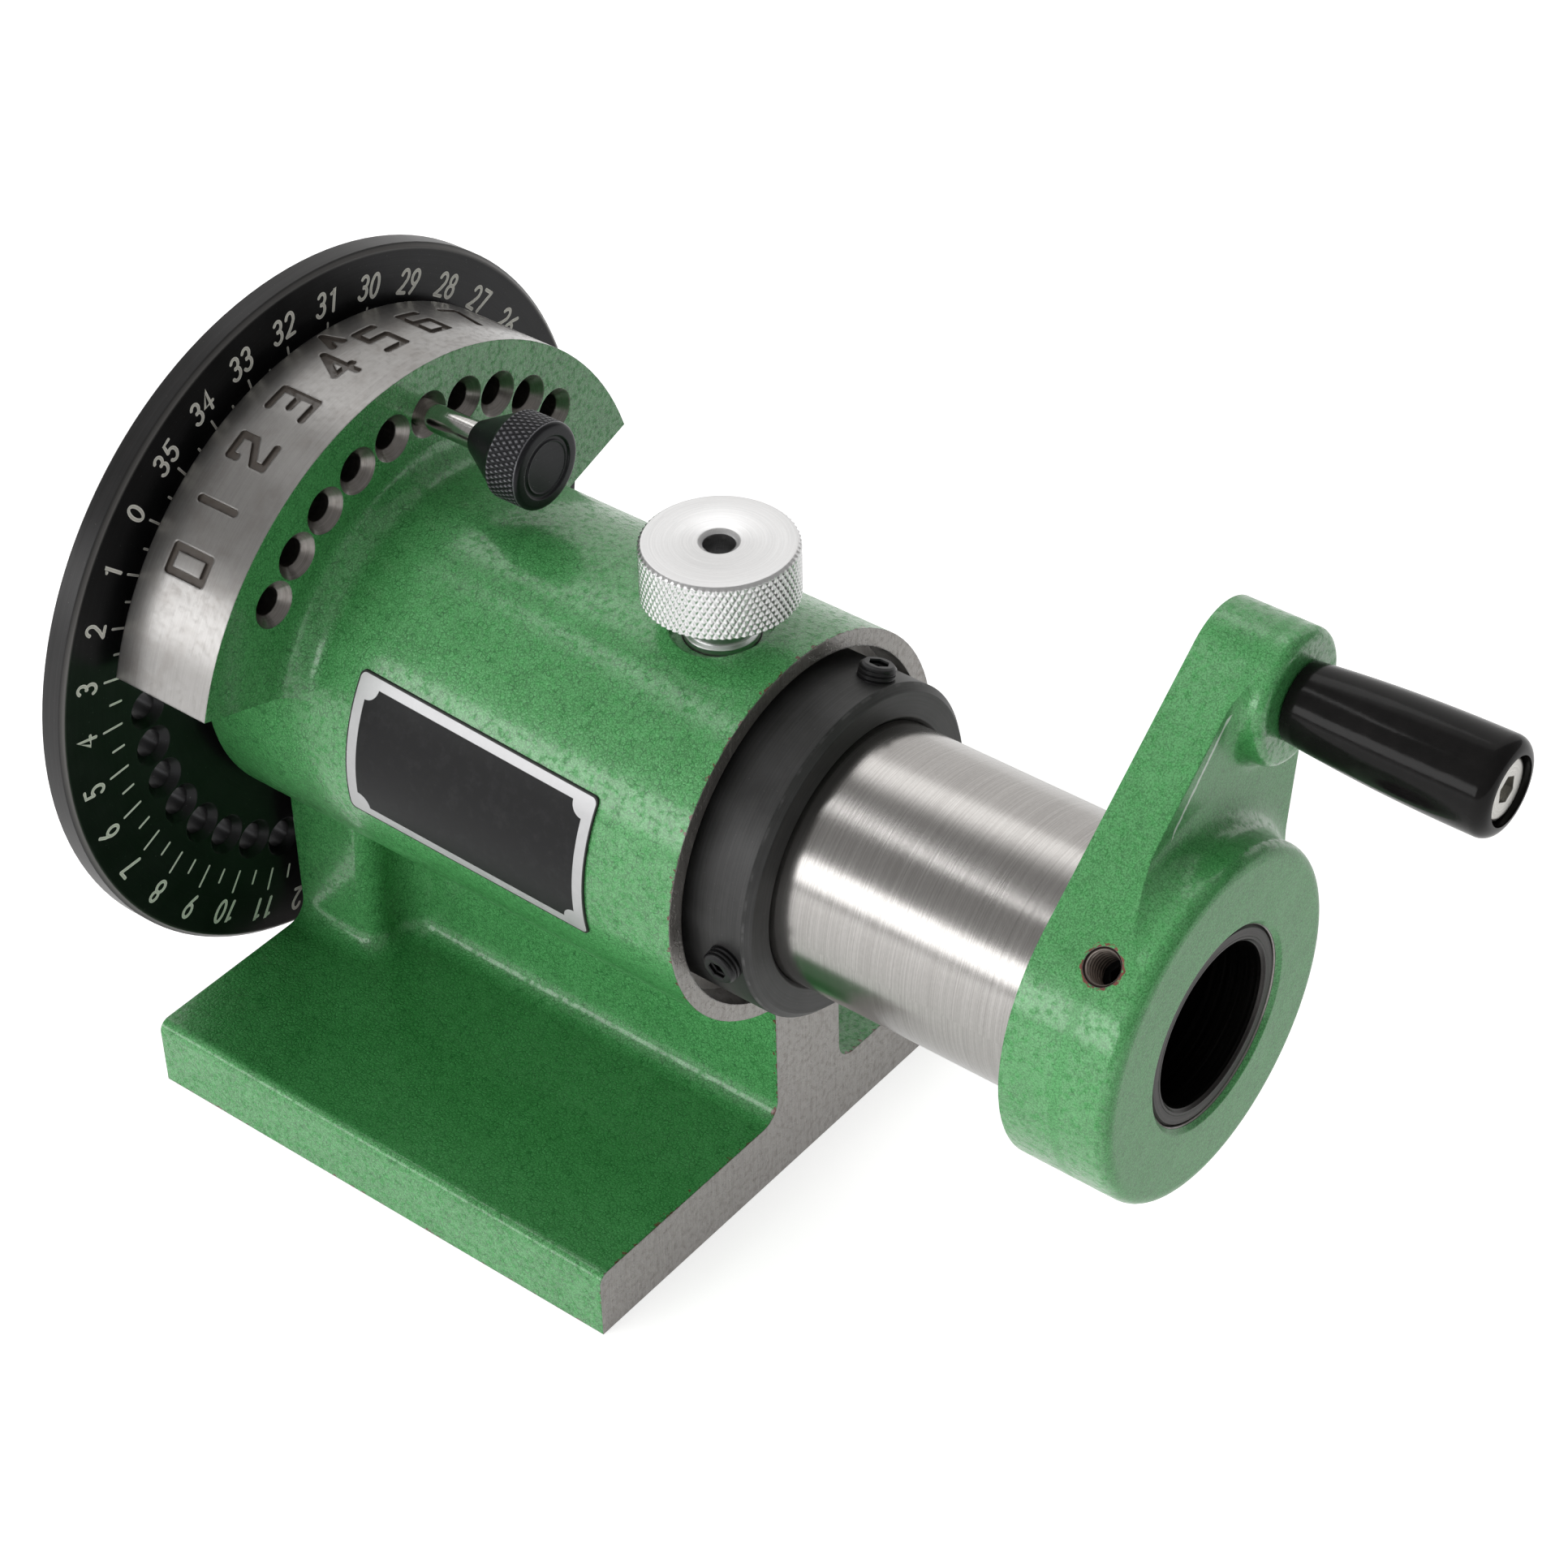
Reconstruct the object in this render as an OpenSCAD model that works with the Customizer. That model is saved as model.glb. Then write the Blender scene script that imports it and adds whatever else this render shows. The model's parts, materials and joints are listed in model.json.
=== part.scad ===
// Spin index jig for 5C collets: a cast body with a centre height of 70 mm carries a
// hollow spindle with a 36-hole index plate, locked by a loose pin through a ten-hole sector.
// X runs along the spindle from the nose (-X) to the crank (+X), Z is up, and the origin
// is on the base's underside, at its centre.

/* [Centre line] */
// Height of the spindle's axis above the base's underside
centre_h = 70.23; // [68:0.01:74]
// Radial running clearance between a shaft and its bore
running_clear = 0.05; // [0.02:0.01:0.08]
// End play between the spindle and each thrust face of the casting
end_play = 0.05; // [0.02:0.01:0.1]
// Gap where a turning face stands beside another piece
face_gap = 0.2; // [0.1:0.05:0.3]

/* [Casting] */
// Length of the base and of the barrel, along the spindle
base_l = 98.8; // [94:0.1:106]
// Width of the base
base_w = 108.2; // [100:0.1:116]
// Thickness of the base
base_t = 13; // [11:0.1:15]
// Radius of the base's long top edges
base_edge_r = 2; // [1:0.1:3]
// Radius of the blend at the foot of the web and of the rib
foot_r = 4; // [3:0.1:4.5]
// Thickness of the web under the barrel
web_t = 16.6; // [14:0.1:18]
// Radius of the blend from the web into the barrel
web_top_r = 3; // [2:0.1:4]
// Width of the end rib, across the web
rib_w = 36.2; // [34:0.1:38]
// Length of the end rib, along the spindle
rib_l = 17.6; // [15:0.1:19]
// Radius of the rib's upright corners
rib_corner_r = 3.5; // [2.5:0.1:4]
// Radius of the upright blend from the rib into the web
rib_blend_r = 5.2; // [4.6:0.1:6]
// Diameter of the barrel
barrel_d = 67.2; // [65:0.1:69]
// Diameter of the index sector
sector_d = 107.8; // [104:0.1:112]
// Thickness of the index sector
sector_t = 19.8; // [17:0.1:22]
// Angle at which the sector starts, from the +Y side
sector_from = 18.5; // [12:0.5:22]
// Angle at which the sector ends, from the +Y side
sector_to = 163; // [160:0.5:168]
// Radius of the blend between the sector and the barrel
sector_blend_r = 5; // [3:0.1:5.5]

/* [Index holes] */
// Diameter of the hole circle of the sector and of the index plate
hole_circle_d = 88.9; // [86:0.1:90]
// Diameter of the index pin
pin_d = 4.76; // [4:0.01:5]
// Angle of the sector's hole 0
first_hole_a = 140; // [139:0.5:141]
// Angle from one sector hole to the next
hole_step_a = 11; // [10.8:0.1:11]
// Diameter of the countersinks in the sector
sector_sink_d = 8.2; // [7.4:0.1:8.4]
// Diameter of the countersinks in the index plate
plate_sink_d = 7.4; // [6.4:0.1:7.6]

/* [Rim figures] */
// Height of the figures cut in the sector's rim, outside their strokes
figure_h = 8.6; // [7:0.1:9.5]
// Distance of the figures' middles from the casting's front
figure_x = 8.6; // [8:0.1:10]
// Height of the arrow over the middle of the rim, outside its strokes
arrow_h = 5.6; // [4.5:0.1:6]
// Width of the figures, outside their strokes
figure_w = 5.4; // [4.5:0.1:6]
// Width of the engraved stroke
figure_stroke = 1.4; // [1:0.1:1.6]
// Depth of the engraving
figure_depth = 0.5; // [0.3:0.1:0.7]

/* [Index plate] */
// Diameter of the index plate
plate_d = 126.4; // [122:0.1:130]
// Thickness of the index plate
plate_t = 5.1; // [4.5:0.1:6]
// Gap between the index plate and the casting
plate_gap = 2.3; // [1.6:0.1:3]
// Number of holes in the index plate
plate_holes = 36; // [36]
// Turn of the index plate's number 0 at rest, from the +Y side
plate_turn_a = 135; // [125:10:145]

/* [Spindle] */
// Diameter of the spindle in the casting
spindle_d = 44.74; // [44:0.01:46]
// Distance that the spindle runs out behind the casting
spindle_tail = 58.4; // [54:0.1:62]
// Diameter of the nose, which carries the index plate
nose_d = 46; // [45.8:0.1:46.4]
// Distance that the nose stands out of the index plate
nose_out = 8; // [6:0.1:10]
// Diameter of the thrust flange behind the index plate
flange_d = 59.2; // [58.6:0.1:60]
// Depth of the flange's seat in the casting's front
flange_seat = 6; // [4:0.1:8]
// Diameter of the bore that holds the collet's body
collet_bore_d = 31.78; // [31.76:0.01:31.8]
// Diameter of the mouth of the collet's taper
taper_mouth_d = 38; // [37.5:0.1:38.5]
// Half angle of the collet's taper
taper_a = 10; // [10]
// Where the collet bore ends, from the nose's front
collet_bore_l = 59.8; // [58:0.1:62]
// Where the bore's ground land ends and its relief begins, from the nose's front
collet_land_l = 44; // [40:0.1:45]
// Depth of the relief behind the land
bore_relief = 0.4; // [0.2:0.05:0.8]
// Distance of the collet key from the nose's front
key_at = 50; // [48.2:0.1:52]
// Diameter of the collet key
key_d = 5; // [4:0.1:5.5]

/* [Thrust collar] */
// Diameter of the collar
collar_d = 57; // [55:0.1:59]
// Length of the collar
collar_l = 17; // [15:0.1:19]
// Gap round the collar in its seat in the casting's crank end
collar_seat_gap = 2.15; // [1.5:0.05:2.4]
// Depth of the collar's seat
collar_seat = 6; // [4:0.1:7]
// Chamfer on the collar's outer edge
collar_edge = 1.2; // [0.8:0.1:1.5]
// Diameter of the collar's set screws
collar_screw_d = 6; // [5:0.1:6.5]
// Angle of the first set screw
collar_screw_a = 69.5; // [60:0.5:75]

/* [Draw tube] */
// Diameter of the draw tube in the spindle
tube_d = 36.7; // [36:0.1:37.2]
// Diameter of the draw tube's tail, which carries the crank
tube_tail_d = 32.9; // [32:0.1:33.4]
// Diameter of the draw tube's through bore
tube_bore_d = 27.3; // [26:0.1:28]
// Diameter of the draw tube's collet thread, at its crests
tube_thread_d = 31; // [30.8:0.1:31.2]
// Length of the collet thread
tube_thread_l = 26; // [22:0.5:30]

/* [Crank] */
// Diameter of the crank's hub
hub_d = 58.8; // [56:0.1:60]
// Length of the crank's hub
hub_l = 18.9; // [17:0.1:21]
// Thickness of the crank's arm
arm_t = 9.8; // [8.5:0.1:11]
// Distance from the spindle's axis to the handle's axis
throw = 50.4; // [48:0.1:54]
// Angle of the crank at rest, from the +Y side
crank_a = 61; // [55:0.5:65]
// Diameter of the boss that holds the handle
boss_d = 22; // [20:0.1:24]
// Height of the boss
boss_l = 14.3; // [13:0.1:15.5]
// Radius of the hub's rear edge
hub_edge_r = 2.2; // [1:0.1:2.6]
// Radius of the blend from the arm's rear face up to the hub
hub_blend_r = 5; // [2:0.1:6]
// Radius of the boss's rear edge
boss_edge_r = 1.8; // [1:0.1:2]
// Radius of the blend from the arm's rear face up to the boss
boss_blend_r = 2.4; // [1:0.1:2.6]
// Diameter of the set screw in the hub
hub_screw_d = 6; // [5:0.1:6.5]
// Angle of the hub's set screw, from the +Y side
hub_screw_a = 132; // [125:0.5:140]

/* [Handle] */
// Diameter of the handle's axle
axle_d = 6; // [5.5:0.1:6.4]
// Length of the handle grip
grip_l = 34.6; // [32:0.1:37]
// Diameter of the grip at its root
grip_root_d = 12.8; // [12:0.1:14]
// Diameter of the grip at its outer end
grip_end_d = 15.9; // [15:0.1:17]
// Diameter of the axle screw's head
axle_head_d = 10.4; // [9.6:0.1:10.6]
// Height of the axle screw's head
axle_head_t = 3; // [2.4:0.1:3.4]

/* [Index pin] */
// Distance from the casting to the pin's knob, as the pin stands at rest
pin_out = 10.8; // [9:0.1:13]
// Diameter of the pin's knob
pin_knob_d = 15; // [14:0.1:16]
// Length of the pin's knob
pin_knob_l = 14.5; // [13:0.1:16]
// Length of the pin inside its knob
pin_sink = 9; // [7:0.1:10]
// Distance between the pin's tip and the index plate, as the pin stands at rest
pin_tip_gap = 0.3; // [0.2:0.05:0.4]

/* [Lock] */
// Distance from the casting's middle to the lock's axis, towards the crank
lock_x = 33.8; // [31:0.1:34]
// Diameter of the lock knob
lock_knob_d = 25.2; // [24:0.1:27]
// Height of the lock knob's knurled head
lock_knob_h = 9.9; // [8:0.1:12]
// Height of the lock knob's neck above the barrel's crown
lock_neck_h = 5.1; // [4:0.1:6]
// Diameter of the lock knob's neck
lock_neck_d = 12.2; // [11.8:0.1:13]
// Diameter of the recess round the lock's neck
lock_recess_d = 16.8; // [15:0.1:18]
// Depth of the recess round the lock's neck, under the barrel's crown
lock_recess_h = 2.3; // [1.6:0.1:2.8]
// Length of the neck that is sunk in the barrel, with the lock let off
lock_sink_h = 5.6; // [5:0.1:6]
// Diameter of the lock screw
lock_screw_d = 10; // [9:0.1:10.4]
// Gap between the brass plug and the spindle, with the lock let off
lock_gap = 0.1; // [0.05:0.01:0.2]

/* [Name plate] */
// Length of the name plate
label_l = 50; // [46:0.5:54]
// Height of the name plate, measured flat across
label_h = 26; // [23:0.5:27]
// Thickness of the name plate
label_t = 0.4; // [0.3:0.05:0.6]
// Distance of the plate's middle from the casting's middle
label_x = 7.6; // [5:0.1:8]
// Angle of the plate's middle, from the +Y side
label_a = 171; // [168:0.5:174]
// Tilt of the plate against the spindle's axis
label_tilt = 2; // [0:0.5:3]

/* [Hidden] */
$fn = 96;
front_x = -base_l / 2;
rear_x = base_l / 2;
barrel_r = barrel_d / 2;
sector_r = sector_d / 2;
sector_x = front_x + sector_t;
spindle_r = spindle_d / 2;
plate_back_x = front_x - plate_gap;
plate_front_x = plate_back_x - plate_t;
nose_x = plate_front_x - nose_out;
tail_x = rear_x + spindle_tail;
flange_back_x = front_x + flange_seat - end_play;
collar_x = rear_x - collar_seat + end_play;
collar_end_x = collar_x + collar_l;
pin_r = pin_d / 2;
hole_r = pin_r + running_clear;
pin_a = first_hole_a - 5 * hole_step_a;
crank_x = tail_x + face_gap;
hub_end_x = crank_x + hub_l;
arm_end_x = crank_x + arm_t;
boss_end_x = crank_x + boss_l;
tube_r = tube_d / 2;
tube_x = nose_x + collet_bore_l + 1;
tube_step_x = tail_x - 4;
tube_end_x = hub_end_x - 0.8;
grip_x = boss_end_x + face_gap;
grip_end_x = grip_x + grip_l;
crown_z = centre_h + barrel_r;
over = 1;
figures = [
    [[0, 0], [1, 0], [1, 1], [0, 1], [0, 0]],
    [[0.5, 0], [0.5, 1]],
    [[0, 0.8], [0, 1], [1, 1], [1, 0.62], [0, 0.3], [0, 0], [1, 0]],
    [[0, 1], [1, 1], [1, 0.5], [0.3, 0.5], [1, 0.5], [1, 0], [0, 0]],
    [[0.75, 0], [0.75, 1], [0, 0.28], [1, 0.28]],
    [[1, 1], [0, 1], [0, 0.56], [1, 0.56], [1, 0], [0, 0]],
    [[1, 1], [0, 1], [0, 0], [1, 0], [1, 0.56], [0, 0.56]],
    [[0, 1], [1, 1], [0.4, 0]],
    [[0, 0], [1, 0], [1, 1], [0, 1], [0, 0], [0, 0.5], [1, 0.5]],
    [[0, 0], [1, 0], [1, 1], [0, 1], [0, 0.44], [1, 0.44]]
];
arrow = [[0.1, 0.2], [0.5, 1], [0.9, 0.2]];

// Puts a shape that stands on the XY plane on the spindle's axis, pointing to the crank.
module on_axis(x) {
    translate([x, 0, centre_h]) rotate([0, 90, 0]) children();
}

// Puts a shape on a spoke at angle a from +Y, at radius r, pointing outwards.
module on_spoke(x, a, r) {
    translate([x, 0, centre_h]) rotate([a - 90, 0, 0]) translate([0, 0, r]) children();
}

// Puts a shape parallel to the spindle's axis, at radius r and angle a.
module beside_axis(x, a, r) {
    translate([x, r * cos(a), centre_h + r * sin(a)]) rotate([0, 90, 0]) children();
}

// A section drawn in Y and Z, run along X.
module along_x(x, l) {
    translate([x, 0, 0]) rotate([90, 0, 90]) linear_extrude(l) children();
}

// The section of a concave blend of radius r, in the corner of two faces, sunk behind both.
module blend_section(r) {
    sink = 1;
    difference() {
        translate([-sink, -sink]) square(r + sink);
        translate([r, r]) circle(r);
    }
}

// One engraved stroke from p to q. Its bar is a hair narrower than its round ends, so that the
// outlines cross instead of touching.
module stroke(p, q) {
    run = q - p;
    translate(p) circle(d = figure_stroke, $fn = 24);
    translate(q) circle(d = figure_stroke, $fn = 24);
    translate(p) rotate(atan2(run[1], run[0])) translate([0, -figure_stroke * 0.48])
        square([norm(run), figure_stroke * 0.96]);
}

// A figure as strokes in a w by h box, centred on the origin, with its foot towards -Y.
module figure_shape(points, w, h) {
    size = [w - figure_stroke, h - figure_stroke];
    for (i = [0 : len(points) - 2])
        stroke([(points[i][0] - 0.5) * size[0], (points[i][1] - 0.5) * size[1]],
               [(points[i + 1][0] - 0.5) * size[0], (points[i + 1][1] - 0.5) * size[1]]);
}

// The cutter for a figure on the sector's rim, with its top towards the index plate.
module rim_figure(points, x, a, w, h) {
    on_spoke(x, a, sector_r - figure_depth) rotate(90) linear_extrude(3)
        figure_shape(points, w, h);
}

// The wedge that the sector fills, seen along the axis.
module sector_wedge(x, l) {
    reach = 2 * sector_r;
    along_x(x, l) translate([0, centre_h]) polygon([
        [0, 0],
        [reach * cos(sector_from), reach * sin(sector_from)],
        [0, 2 * reach],
        [reach * cos(sector_to), reach * sin(sector_to)]
    ]);
}

// Half of the web's section, with its blends into the base and into the barrel. The upper
// blend runs a hair into the barrel, so that the two surfaces cross instead of touching.
module web_section() {
    half = web_t / 2;
    sink = 0.01;
    centre_y = half + web_top_r;
    drop = sqrt(pow(barrel_r + web_top_r - sink, 2) - pow(centre_y, 2));
    share = (barrel_r - over) / (barrel_r + web_top_r);
    translate([0, base_t - over]) square([half, centre_h - base_t]);
    translate([half, base_t]) blend_section(foot_r);
    difference() {
        polygon([
            [half - over, centre_h - drop],
            [centre_y, centre_h - drop],
            [centre_y * share, centre_h - drop * share],
            [half - over, centre_h - drop * share + 2 * over]
        ]);
        translate([centre_y, centre_h - drop]) circle(web_top_r);
    }
}

// Half of the end rib, on the +Y side, with its blends into the base and the web.
module rib_half() {
    half = rib_w / 2;
    web_half = web_t / 2;
    end_x = front_x + rib_l;
    rise = centre_h - base_t - barrel_r * 0.3;
    corner = [end_x - rib_corner_r, half - rib_corner_r];
    hollow = [end_x + rib_blend_r, web_half + rib_blend_r];
    translate([0, 0, base_t - over]) linear_extrude(rise) {
        translate([front_x, 0]) square([rib_l - rib_corner_r, half]);
        translate([front_x, 0]) square([rib_l, half - rib_corner_r]);
        translate(corner) circle(rib_corner_r);
        translate([end_x, web_half]) blend_section(rib_blend_r);
    }
    along_x(front_x, rib_l - rib_corner_r) translate([half, base_t]) blend_section(foot_r);
    translate([corner[0], corner[1], base_t]) rotate_extrude(angle = 90)
        translate([rib_corner_r, 0]) blend_section(foot_r);
    translate([end_x, corner[1], base_t]) rotate([90, 0, 0])
        linear_extrude(corner[1] - hollow[1]) blend_section(foot_r);
    translate([hollow[0], hollow[1], base_t]) rotate_extrude(angle = 90, start = 180)
        translate([rib_blend_r, 0]) mirror([1, 0]) blend_section(foot_r);
}

module body_casting() {
    color("seagreen") difference() {
        union() {
            along_x(front_x, base_l) {
                translate([-base_w / 2, 0]) square([base_w, base_t - base_edge_r]);
                translate([-base_w / 2 + base_edge_r, 0])
                    square([base_w - 2 * base_edge_r, base_t]);
                for (side = [-1, 1])
                    translate([side * (base_w / 2 - base_edge_r), base_t - base_edge_r])
                        circle(base_edge_r);
            }
            along_x(front_x, base_l) {
                web_section();
                mirror([1, 0]) web_section();
            }
            rib_half();
            mirror([0, 1, 0]) rib_half();
            on_axis(front_x) cylinder(h = base_l, r = barrel_r);
            intersection() {
                on_axis(front_x) cylinder(h = sector_t, r = sector_r);
                sector_wedge(front_x - over, sector_t + 2 * over);
            }
            intersection() {
                on_axis(sector_x) rotate_extrude()
                    translate([barrel_r, 0]) blend_section(sector_blend_r);
                sector_wedge(front_x, sector_t + 2 * sector_blend_r);
            }
        }
        on_axis(front_x - over)
            cylinder(h = base_l + 2 * over, r = spindle_r + running_clear);
        on_axis(front_x - over)
            cylinder(h = flange_seat + over, r = flange_d / 2 + 0.5);
        on_axis(rear_x - collar_seat)
            cylinder(h = collar_seat + over, r = collar_d / 2 + collar_seat_gap);
        for (i = [0 : 9]) {
            hole_a = first_hole_a - i * hole_step_a;
            sink = sector_sink_d / 2 - hole_r;
            beside_axis(front_x - over, hole_a, hole_circle_d / 2)
                cylinder(h = sector_t + 2 * over, r = hole_r);
            beside_axis(sector_x - sink, hole_a, hole_circle_d / 2)
                cylinder(h = sink + over, r1 = hole_r, r2 = hole_r + sink + over);
            rim_figure(figures[i], front_x + figure_x, hole_a - 1, figure_w, figure_h);
        }
        rim_figure(arrow, front_x + arrow_h / 2 + figure_stroke / 3, 90, figure_w * 0.8, arrow_h);
        translate([lock_x, 0, centre_h]) {
            cylinder(h = 2 * barrel_r, r = lock_screw_d / 2);
            translate([0, 0, barrel_r - lock_sink_h - 2 * over])
                cylinder(h = barrel_r, r = lock_neck_d / 2 + 0.15);
            translate([0, 0, barrel_r - lock_recess_h])
                cylinder(h = barrel_r, r = lock_recess_d / 2);
        }
    }
}

module name_plate() {
    shell_r = barrel_r + 0.02;
    corner_r = label_h / 26;
    color("black") intersection() {
        on_axis(front_x) difference() {
            cylinder(h = base_l, r = shell_r + label_t);
            translate([0, 0, -over]) cylinder(h = base_l + 2 * over, r = shell_r);
        }
        on_spoke(label_x, label_a, barrel_r / 2) rotate(-label_tilt)
            linear_extrude(barrel_r) {
                square([label_l, label_h - 2 * corner_r], center = true);
                square([label_l - 2 * corner_r, label_h], center = true);
                for (sx = [-1, 1])
                    for (sy = [-1, 1])
                        translate([sx * (label_l / 2 - corner_r), sy * (label_h / 2 - corner_r)])
                            circle(corner_r, $fn = 24);
            }
    }
}

module spindle() {
    edge = 0.8;
    taper_l = (taper_mouth_d - collet_bore_d) / 2 / tan(taper_a);
    bore_l = tail_x - nose_x;
    color("silver") difference() {
        union() {
            on_axis(nose_x + edge) cylinder(h = plate_back_x - nose_x, r = nose_d / 2);
            on_axis(nose_x) cylinder(h = edge, r1 = nose_d / 2 - edge, r2 = nose_d / 2);
            on_axis(plate_back_x)
                cylinder(h = flange_back_x - plate_back_x, r = flange_d / 2);
            on_axis(plate_back_x)
                cylinder(h = tail_x - plate_back_x - edge, r = spindle_r);
            on_axis(tail_x - edge) cylinder(h = edge, r1 = spindle_r, r2 = spindle_r - edge);
        }
        on_axis(nose_x)
            cylinder(h = taper_l, r1 = taper_mouth_d / 2, r2 = collet_bore_d / 2);
        on_axis(nose_x - over) cylinder(h = bore_l + 2 * over, r = collet_bore_d / 2);
        on_axis(nose_x + collet_land_l)
            cylinder(h = bore_l, r = collet_bore_d / 2 + bore_relief);
        on_axis(nose_x + collet_bore_l)
            cylinder(h = bore_l, r = tube_r + running_clear);
        on_spoke(nose_x + key_at, 90, spindle_r / 2) cylinder(h = spindle_r, r = key_d / 2);
        for (i = [1 : 4]) plate_screw_hole(i);
    }
}

// The tapped holes for the index plate's screws.
plate_screw_d = 4;
plate_screw_head_d = 6.8;
plate_screw_r = (nose_d + flange_d) / 4;
module plate_screw_hole(i) {
    beside_axis(plate_back_x - over, 90 * i - 45, plate_screw_r)
        cylinder(h = 7 + over, r = plate_screw_d / 2);
}

// A hexagon socket of width s and depth t, opening at the top of its own origin.
module hex_socket(s, t) {
    translate([0, 0, -t]) cylinder(h = t + over, d = s / cos(30), $fn = 6);
}

module collet_key() {
    top = spindle_r - 0.3;
    foot = collet_bore_d / 2 - 1.3;
    shank = collet_bore_d / 2 + bore_relief;
    color("dimgray") difference() {
        union() {
            on_spoke(nose_x + key_at, 90, shank)
                cylinder(h = top - shank, r = key_d / 2 - 0.02);
            on_spoke(nose_x + key_at, 90, foot)
                cylinder(h = shank - foot + over, r = key_d / 2 - 1);
        }
        on_spoke(nose_x + key_at, 90, top) hex_socket(2.5, 2.5);
    }
}

module index_plate() {
    edge = 0.7;
    sink = plate_sink_d / 2 - hole_r;
    head_sink = (plate_screw_head_d - plate_screw_d) / 2;
    color([0.1, 0.1, 0.11]) difference() {
        union() {
            on_axis(plate_front_x)
                cylinder(h = edge, r1 = plate_d / 2 - edge, r2 = plate_d / 2);
            on_axis(plate_front_x + edge)
                cylinder(h = plate_t - 2 * edge, r = plate_d / 2);
            on_axis(plate_back_x - edge)
                cylinder(h = edge, r1 = plate_d / 2, r2 = plate_d / 2 - edge);
        }
        on_axis(plate_front_x - over) cylinder(h = plate_t + 2 * over, r = nose_d / 2 + 0.02);
        for (i = [0 : plate_holes - 1]) {
            hole_a = plate_turn_a + i * 360 / plate_holes;
            beside_axis(plate_front_x - over, hole_a, hole_circle_d / 2)
                cylinder(h = plate_t + 2 * over, r = hole_r);
            beside_axis(plate_back_x - sink, hole_a, hole_circle_d / 2)
                cylinder(h = sink + over, r1 = hole_r, r2 = hole_r + sink + over);
        }
        for (i = [1 : 4])
            beside_axis(plate_front_x, 90 * i - 45, plate_screw_r) {
                translate([0, 0, -over])
                    cylinder(h = plate_t + 2 * over, r = plate_screw_d / 2 + 0.02);
                cylinder(h = head_sink, r1 = plate_screw_head_d / 2, r2 = plate_screw_d / 2);
            }
    }
}

module plate_screw(i) {
    head_sink = (plate_screw_head_d - plate_screw_d) / 2;
    color("dimgray") beside_axis(plate_front_x + 0.05, 90 * i - 45, plate_screw_r)
        difference() {
            union() {
                cylinder(h = head_sink, r1 = plate_screw_head_d / 2 - 0.1,
                         r2 = plate_screw_d / 2 - 0.1);
                cylinder(h = plate_t + 6, r = plate_screw_d / 2 - 0.02);
            }
            mirror([0, 0, 1]) hex_socket(2.5, 2);
        }
}

module thrust_collar() {
    bore_edge = 0.7;
    collar_r = collar_d / 2;
    bore_r = spindle_r + 0.02;
    color([0.16, 0.16, 0.17]) difference() {
        union() {
            on_axis(collar_x) cylinder(h = collar_l - collar_edge, r = collar_r);
            on_axis(collar_end_x - collar_edge)
                cylinder(h = collar_edge, r1 = collar_r, r2 = collar_r - collar_edge);
        }
        on_axis(collar_x - over) cylinder(h = collar_l + 2 * over, r = bore_r);
        on_axis(collar_end_x - bore_edge)
            cylinder(h = bore_edge + over, r1 = bore_r, r2 = bore_r + bore_edge + over);
        for (i = [1 : 3])
            on_spoke(collar_screw_x, collar_screw_a + 120 * (i - 1), spindle_r / 2)
                cylinder(h = collar_r, r = collar_screw_d / 2);
    }
}

// The collar's set screws stand behind the casting, and out of the collar.
collar_screw_x = rear_x + 6.6;
module collar_screw(i) {
    screw_r = collar_screw_d / 2 - 0.02;
    top = collar_d / 2 + 2.4;
    edge = 0.6;
    color([0.16, 0.16, 0.17]) difference() {
        union() {
            on_spoke(collar_screw_x, collar_screw_a + 120 * (i - 1), spindle_r + 0.3)
                cylinder(h = top - edge - spindle_r - 0.3, r = screw_r);
            on_spoke(collar_screw_x, collar_screw_a + 120 * (i - 1), top - edge)
                cylinder(h = edge, r1 = screw_r, r2 = screw_r - edge);
        }
        on_spoke(collar_screw_x, collar_screw_a + 120 * (i - 1), top) hex_socket(3, 3);
    }
}

module draw_tube() {
    edge = 0.5;
    tail_r = tube_tail_d / 2;
    color([0.14, 0.14, 0.15]) difference() {
        union() {
            on_axis(tube_x) cylinder(h = tube_step_x - tube_x, r = tube_r);
            on_axis(tube_x) cylinder(h = tube_end_x - tube_x - edge, r = tail_r);
            on_axis(tube_end_x - edge) cylinder(h = edge, r1 = tail_r, r2 = tail_r - edge);
        }
        on_axis(tube_x - over)
            cylinder(h = tube_end_x - tube_x + 2 * over, r = tube_bore_d / 2);
        on_axis(tube_x - over) cylinder(h = tube_thread_l + over, r = tube_thread_d / 2);
        on_axis(tube_end_x - edge)
            cylinder(h = edge + over, r1 = tube_bore_d / 2, r2 = tube_bore_d / 2 + edge + over);
        on_spoke(crank_screw_x, hub_screw_a, tail_r - 0.6)
            cylinder(h = 3, r = hub_screw_d / 2);
    }
}

// The crank's parts are drawn with the arm along +Y, and turned to the angle at rest.
crank_screw_x = crank_x + 10.7;
module crank_turn() {
    translate([0, 0, centre_h]) rotate([crank_a, 0, 0]) children();
}

// A disc on the crank, centred at y along the arm, from the front face to length l, with a
// rounded rear edge.
module crank_disc(y, r, l, edge) {
    translate([crank_x, y, 0]) rotate([0, 90, 0]) rotate_extrude() {
        square([r - edge, l]);
        square([r, l - edge]);
        translate([r - edge, l - edge]) circle(edge);
    }
}

// The blend of radius blend_r from the arm's rear face up the side of a disc of radius r. It
// is kept within the arm's outline.
module crank_blend(y, r, blend_r) {
    translate([arm_end_x, y, 0]) rotate([0, 90, 0]) rotate_extrude()
        translate([r, 0]) blend_section(blend_r);
}

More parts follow.
